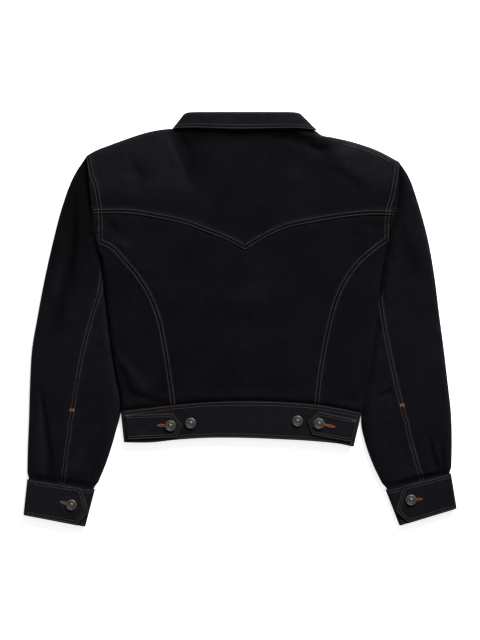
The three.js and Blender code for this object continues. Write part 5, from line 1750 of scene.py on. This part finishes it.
class Waistband:
    """The waistband's back and fronts, and the two adjuster tabs on it."""

    FRONT_AREA = {Hand.LEFT: 0.0120, Hand.RIGHT: 0.0123}
    TAB_AREA = {Hand.LEFT: 0.0034, Hand.RIGHT: 0.0028}
    UPPER_ROWS = (1.9, 6.6)
    LOWER_ROWS = (2.3, 6.3)
    END_ROWS = (2.4, 6.0)
    TAB_ROWS = (2.0, 5.6)
    TAB_GAP = 0.3
    TAB = {
        Hand.LEFT: [(-183, -152.5), (-179, -193.5), (-108, -150.4), (-91.7, -169.3), (-101, -190)],
        Hand.RIGHT: [(186, -160.5), (177.5, -197.5), (126.4, -147.6), (108, -164.8), (115.2, -185.8)],
    }
    TAB_BUTTON = {Hand.LEFT: (-111.4, -170.6), Hand.RIGHT: (126.4, -167.2)}
    SPARE_BUTTON = {Hand.LEFT: (-78.9, -166.7), Hand.RIGHT: (92, -163.2)}
    HOLE_TIP = {Hand.LEFT: (-131.8, -170.1), Hand.RIGHT: (152, -172.8)}

    def __init__(self, form: BodyForm, finishes: Finishes) -> None:
        """Keeps the body's form and the ends of the band."""
        self.form, self.finishes = form, finishes
        self.ends = [np.array([HEM_SEAM[k], HEM_EDGE[k]], float) for k in (0, -1)]
        self.seam_line = form.hem.line()
        self.edge_line = form.hem_edge.line()

    def top(self, x: np.ndarray, y: np.ndarray) -> np.ndarray:
        """Height of the band's upper face."""
        seam = np.abs(nearest_on(self.seam_line, x, y)[0])
        edge = np.abs(nearest_on(self.edge_line, x, y)[0])
        fold = clear_of(self.ends, x, y)
        groove = grooves(seam, self.UPPER_ROWS) + grooves(edge, self.LOWER_ROWS)
        pull = ripple(x, y * 0.4, 8, 81) + 0.6 * ripple(x, y * 0.3, 19, 83)
        lift = slack(x, y, (0.5, 44, 85), (0.15, 17, 89)) - 0.3 * groove
        lift = lift + 0.34 * pull * (bell(seam - 4, 6) + bell(edge - 4, 6))
        full = HEM_HIGH + 0.5 * smooth(seam, 0, 1.5) + lift
        return TIP + (full - TIP) * rounded(fold / ROLL)

    def under(self, x: np.ndarray, y: np.ndarray, raised: float) -> np.ndarray:
        """Height of the band's lower face."""
        fold = clear_of(self.ends, x, y)
        return TIP + (placket_lift(x, raised) - TIP) * rounded(fold / UNDER_ROLL)

    def tab_top(self, x: np.ndarray, y: np.ndarray) -> np.ndarray:
        """Height of the tabs' upper face."""
        fold = clear_of(self.ends, x, y)
        full = HEM_HIGH + 0.16 * ripple(x, y, 18, 87)
        return TIP + (full - TIP) * rounded(fold / ROLL) + GAP + DOUBLED + self.TAB_GAP

    def _patch(self, start: float, end: float) -> Patch:
        """Plan of the band between two shares of the hem."""
        seam, edge = self.form.hem, self.form.hem_edge
        return Patch(lambda s: seam.along(mix(start, end, s)), lambda s: edge.along(mix(start, end, s)),
                     lambda t: mix(seam.along(np.array(start)), edge.along(np.array(start)), t[..., None]),
                     lambda t: mix(seam.along(np.array(end)), edge.along(np.array(end)), t[..., None]))

    def build(self) -> None:
        """Builds the band, its tabs, its rows and its buttons."""
        self._back()
        for hand in Hand:
            self._front(hand)
            self._tab(hand)
            self._buttons(hand)
        self._stitches()

    def _back(self) -> None:
        """The back of the band."""
        columns, rows = Steps(150, FOLD_ROWS, FOLD_ROWS, halves=True), Steps(24, RIM_ROWS, RIM_ROWS)
        grid = self._patch(0, 1).grid(columns, rows)
        shell = Shell("waistband_back", lifted(grid.plan, self.top(grid.x, grid.y)), DOUBLED,
                      level=grid.in_columns(0, -1), rim=np.minimum(grid.top, grid.bottom),
                      wear_and_painted_light=0.25 + 0.3 * smooth(grid.bottom, 5, 0.3), grain=grid.plan)
        lay_cloth(shell, self.finishes)

    def _front(self, hand: Hand) -> None:
        """A front of the band, to past the closing."""
        raised = BUTTON_LIFT if hand is Hand.LEFT else BUTTON_LIFT + BAND_STEP
        end = self.form.hem.nearest(MIDDLE - hand.outward * OVERLAP, HEM_Y)
        columns, rows = Steps(56, FOLD_ROWS, RIM_ROWS), Steps(16, RIM_ROWS, RIM_ROWS)
        grid = self._patch(hand.hem_end, end).grid(columns, rows)
        outer = lifted(grid.plan, self.under(grid.x, grid.y, raised))
        shell = Shell(f"waistband_front_{hand.value}", outer, DOUBLED, faces=-1, level=grid.in_columns(0),
                      rim=grid.rim, grain=grid.plan)
        lay_cloth(shell, self.finishes)

    def _tab_edges(self, hand: Hand) -> list[np.ndarray]:
        """Corners of a tab: outer top and bottom, top corner, point and bottom corner."""
        return [np.array(point, float) for point in self.TAB[hand]]

    def _tab(self, hand: Hand) -> None:
        """An adjuster tab with its pointed end."""
        top_outer, bottom_outer, top_corner, point, bottom_corner = self._tab_edges(hand)

        def pointed(t: np.ndarray) -> np.ndarray:
            """The end: from the top corner to the point and back."""
            t = t[..., None]
            return np.where(t < 0.5, mix(top_corner, point, 2 * t), mix(point, bottom_corner, 2 * t - 1))

        patch = Patch(lambda s: mix(top_outer, top_corner, s[..., None]),
                      lambda s: mix(bottom_outer, bottom_corner, s[..., None]),
                      lambda t: mix(top_outer, bottom_outer, t[..., None]), pointed)
        grid = patch.grid(Steps(34, (0, 1, 2.5), RIM_ROWS), Steps(22, RIM_ROWS, RIM_ROWS, halves=True))
        outer = lifted(grid.plan, self.tab_top(grid.x, grid.y))
        shell = Shell(f"waist_tab_{hand.value}", outer, DOUBLED, rim=grid.rim,
                      wear_and_painted_light=0.25 + 0.3 * smooth(grid.rim, 4, 0.2), grain=grid.plan)
        lay_cloth(shell, self.finishes)

    def _buttons(self, hand: Hand) -> None:
        """The tab's button, and the spare one beside it."""
        low = HEM_HIGH + GAP
        high = low + DOUBLED + GAP + self.TAB_GAP
        Button(f"button_spare_{hand.value}", self.SPARE_BUTTON[hand], low + self.TAB_GAP).build(self.finishes)
        Button(f"button_tab_{hand.value}", self.TAB_BUTTON[hand], high).build(self.finishes)

    def _stitches(self) -> None:
        """Two rows along each edge of the band, two round each tab, and the buttonholes."""
        sewing, holes = Sewing("stitches_waistband"), Sewing("buttonholes_waistband")
        inner = slice(2, -2)
        for off in self.UPPER_ROWS:
            sewing.row(inset(self.seam_line[inner], -off), self.top)
        for off in self.LOWER_ROWS:
            sewing.row(inset(self.edge_line[inner], off), self.top)
        for end, side in zip(self.ends, (1, -1)):
            for off in self.END_ROWS:
                sewing.row(inset(mix(end[0], end[1], np.array([[0.05], [0.95]])), side * off), self.top)
        for hand in Hand:
            top_outer, bottom_outer, top_corner, point, bottom_corner = self._tab_edges(hand)
            outline = np.array([top_outer, top_corner, point, bottom_corner, bottom_outer])
            for off in self.TAB_ROWS:
                sewing.row(inset(outline, off * hand.outward), self.tab_top, 3.1)
            buttonhole(holes, self.TAB_BUTTON[hand], self.HOLE_TIP[hand], self.tab_top)
            start = top_outer + (-0.5 * hand.outward, -2.5)
            sewing.satin(np.array([start, start + (-5.5 * hand.outward, 0)]), 1.6, self.tab_top)
        sewing.build(self.finishes.thread)
        holes.build(self.finishes.tack)


@dataclass(frozen=True)
class Collar:
    """The collar's fall and stand, with the rows along the fall's edge."""

    NEAR_FOLD = (0, 0.3, 0.9, 1.9, 3.2, 5.0)

    form: CollarForm
    finishes: Finishes
    deep: float = 28.0
    end_pace: float = 24.0
    rows: tuple[float, float] = (2.0, 7.0)

    def build(self) -> None:
        """Builds the fall, the stand and the rows."""
        self._part("collar_fall", "edge", DOUBLED)
        self._part("collar_stand", "seam", STAND)
        self._stitches()

    def _surface(self, part: str, place: np.ndarray, p: np.ndarray) -> np.ndarray:
        """Outer face with the slight unevenness of the cloth."""
        point = self.form.point(part, place, p)
        on_top = smooth(np.abs(place), 3.4, 2.4)
        x, y = point[..., 0], point[..., 1]
        point[..., 2] += on_top * smooth(p, 0, 0.3) * slack(x, y, (0.3, 24, 91), (0.12, 9, 93))
        return point

    def _part(self, name: str, part: str, thick: float) -> None:
        """One half of the collar, from the fold to its edge."""
        fall, end = part == "edge", CollarForm.END
        rows = Steps(14 if fall else 8, self.NEAR_FOLD, RIM_ROWS).shares(self.deep)[0]
        place = np.concatenate([np.linspace(-end, -4.5, 34)[:-1], np.linspace(-4.5, -2, 30)[:-1],
                                np.linspace(-2, 2, 70), np.linspace(2, 4.5, 30)[1:],
                                np.linspace(4.5, end, 34)[1:]])
        place, p = np.meshgrid(place, rows)
        outer = self._surface(part, place, p)
        rim, wear_and_painted_light = np.full(p.shape, FAR), 0 * p
        if fall:
            rim = np.minimum((1 - p) * self.deep, (end - np.abs(place)) * self.end_pace)
            wear_and_painted_light = 0.38 + 0.3 * np.maximum(smooth(rim, 5, 0.3), smooth(p * self.deep, 4, 0.5))
        shell = Shell(name, outer, thick, faces=1 if fall else -1, check=(10, place.shape[1] // 2), rim=rim,
                      wear_and_painted_light=wear_and_painted_light)
        lay_cloth(shell, self.finishes)

    def _stitches(self) -> None:
        """Two rows along the fall's lower edge."""
        sewing = Sewing("stitches_collar")
        for back in self.rows:
            self._row(sewing, back)
        sewing.build(self.finishes.thread)

    def _row(self, sewing: Sewing, back: float) -> None:
        """One row, that far back from the edge."""
        place = np.linspace(-3.3, 3.3, 260)
        length = np.linalg.norm(self.form.at("edge", place) - self.form.at("fold", place), axis=-1)
        points = self._surface("edge", place, 1 - back / length)
        order = np.argsort(points[:, 0])

        def height(x: np.ndarray, y: np.ndarray) -> np.ndarray:
            """Height of the fall along this row, which doesn't depend on y."""
            return np.interp(x, points[order, 0], points[order, 2])

        sewing.row(points[:, :2], height)


@dataclass(frozen=True)
class Button:
    """A turned metal button with sunk rings, a ring of dots between them and a raised centre.

    Its middle in plan is at, its underside lies at z, and down says whether it faces the floor.
    """

    PROFILE = [(0, 0), (7.6, 0), (8.3, 0.3), (8.5, 0.9), (8.5, 1.7), (8.2, 2.3), (7.7, 2.55), (7.2, 2.55),
               (6.8, 2.3), (6.5, 1.95), (6.0, 1.85), (5.6, 2.0), (5.3, 2.2), (4.9, 2.25), (4.5, 2.1),
               (4.2, 1.85), (3.6, 1.8), (3.1, 2.0), (2.7, 2.35), (2.2, 2.6), (1.5, 2.8), (0.7, 2.9), (0, 2.9)]
    SUNK = (6.3, 3.7)
    SIDES = 56
    DOTS = 14
    DOTTED = 5.1
    DOT_HIGH = 0.22

    node: str
    at: tuple[float, float]
    z: float
    down: bool = False

    def build(self, finishes: Finishes) -> None:
        """Turns the profile and dresses it in metal.

        Args:
            finishes: the jacket's finishes.
        """
        profile = np.array(self.PROFILE, float)
        turns = np.arange(self.SIDES) * 2 * math.pi / self.SIDES
        ring = profile[1:-1]
        sign = -1 if self.down else 1
        x = ring[:, :1] * np.cos(turns)
        y = ring[:, :1] * np.sin(turns) * sign
        dots = bell(ring[:, :1] - self.DOTTED, 0.8) * np.cos(self.DOTS * turns)
        z = (ring[:, 1:] + self.DOT_HIGH * dots) * sign
        points = np.stack([x, y, z], -1).reshape(-1, 3)
        poles = np.array([[0, 0, 0], [0, 0, profile[-1, 1] * sign]])
        points = (np.vstack([points, poles]) + (*self.at, self.z)) * MM
        index = np.arange(len(ring) * self.SIDES).reshape(len(ring), self.SIDES)
        turned = np.roll(index, -1, axis=1)
        faces = np.stack([index[:-1], turned[:-1], turned[1:], index[1:]], -1).reshape(-1, 4).tolist()
        low, high = len(points) - 2, len(points) - 1
        faces += [[turned[0, k], index[0, k], low] for k in range(self.SIDES)]
        faces += [[index[-1, k], turned[-1, k], high] for k in range(self.SIDES)]
        mesh = bpy.data.meshes.new("metal_" + self.node)
        mesh.from_pydata(points.tolist(), [], faces)
        sunk = np.max([bell(ring[:, :1] - at, 0.6) for at in self.SUNK], axis=0) - 0.7 * dots
        values = np.concatenate([sunk.ravel(), [0, 0]]).astype(np.float32)
        mesh.attributes.new("sunk", "FLOAT", "POINT").data.foreach_set("value", values)
        mesh.shade_smooth()
        dress(add_object("metal_" + self.node, mesh), finishes.metal, self.node)


@dataclass(frozen=True)
class Closing:
    """The buttons down the closing, which face the floor."""

    places: tuple[int, ...] = (222, 158, 94, 30, -34, -166)

    def build(self, finishes: Finishes) -> None:
        """Builds each button."""
        for number, y in enumerate(self.places, 1):
            Button(f"button_front_{number}", (MIDDLE, y), BUTTON_LIFT - GAP, down=True).build(finishes)


@dataclass(frozen=True)
class Studio:
    """Pale floor, soft light and the camera straight above."""

    lens: float = 100.0
    sensor: float = 36.0
    seen: float = 640 * PIXEL
    middle: tuple[float, float] = (0.0, -PIXEL)
    jacket_high: float = 12 * MM
    floor_half: float = 6.0
    floor_low: float = -0.4 * MM
    sky: float = 0.35
    key_at: tuple[float, float, float] = (1.5, 3.35, 1.75)
    key_size: float = 1.7
    key_power: float = 470.0

    def build(self) -> None:
        """Sets the floor, the light and the camera."""
        self._floor()
        self._light()
        self._camera()

    def _floor(self) -> None:
        """A plain floor just under the jacket."""
        half, low = self.floor_half, self.floor_low
        mesh = bpy.data.meshes.new("floor")
        mesh.from_pydata([(-half, -half, low), (half, -half, low), (half, half, low), (-half, half, low)], [],
                         [(0, 1, 2, 3)])
        mesh.materials.append(PaleFloor().material())
        add_object("floor", mesh)

    def _light(self) -> None:
        """A pale sky, and a large soft light from beyond the collar."""
        world = bpy.data.worlds.new("pale_sky")
        bpy.context.scene.world = world
        world.use_nodes = True
        sky = world.node_tree.nodes["Background"]
        sky.inputs["Color"].default_value = (1.0, 1.0, 1.0, 1.0)
        sky.inputs["Strength"].default_value = self.sky
        light = bpy.data.lights.new("key", "AREA")
        light.size, light.energy = self.key_size, self.key_power
        obj = add_object("key", light)
        away = np.array(self.key_at) / np.linalg.norm(self.key_at)
        obj.location = self.key_at
        obj.rotation_euler = (math.acos(away[2]), 0, math.atan2(away[1], away[0]) + math.pi / 2)

    def _camera(self) -> None:
        """The camera, straight above, with the top of the picture towards the collar."""
        camera = bpy.data.cameras.new("camera")
        camera.lens, camera.sensor_width, camera.sensor_fit = self.lens, self.sensor, "AUTO"
        camera.clip_end = 50
        obj = add_object("camera", camera)
        distance = self.seen * self.lens / self.sensor
        obj.location = (*self.middle, self.jacket_high + distance)
        bpy.context.scene.camera = obj
        bpy.context.scene.view_settings.view_transform = "Standard"


def main() -> None:
    """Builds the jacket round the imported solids, and then the studio."""
    logging.basicConfig(level=logging.INFO, format="%(name)s: %(message)s")
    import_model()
    finishes = Finishes.make()
    collar = CollarForm()
    body = BodyForm(collar)
    Fronts(body, finishes).build()
    Back(body, finishes).build()
    for hand in Hand:
        Sleeve(hand, body, finishes).build()
        Cuff(hand, finishes).build()
    Waistband(body, finishes).build()
    Collar(collar, finishes).build()
    Closing().build(finishes)
    Studio().build()


if __name__ == "__main__":
    main()
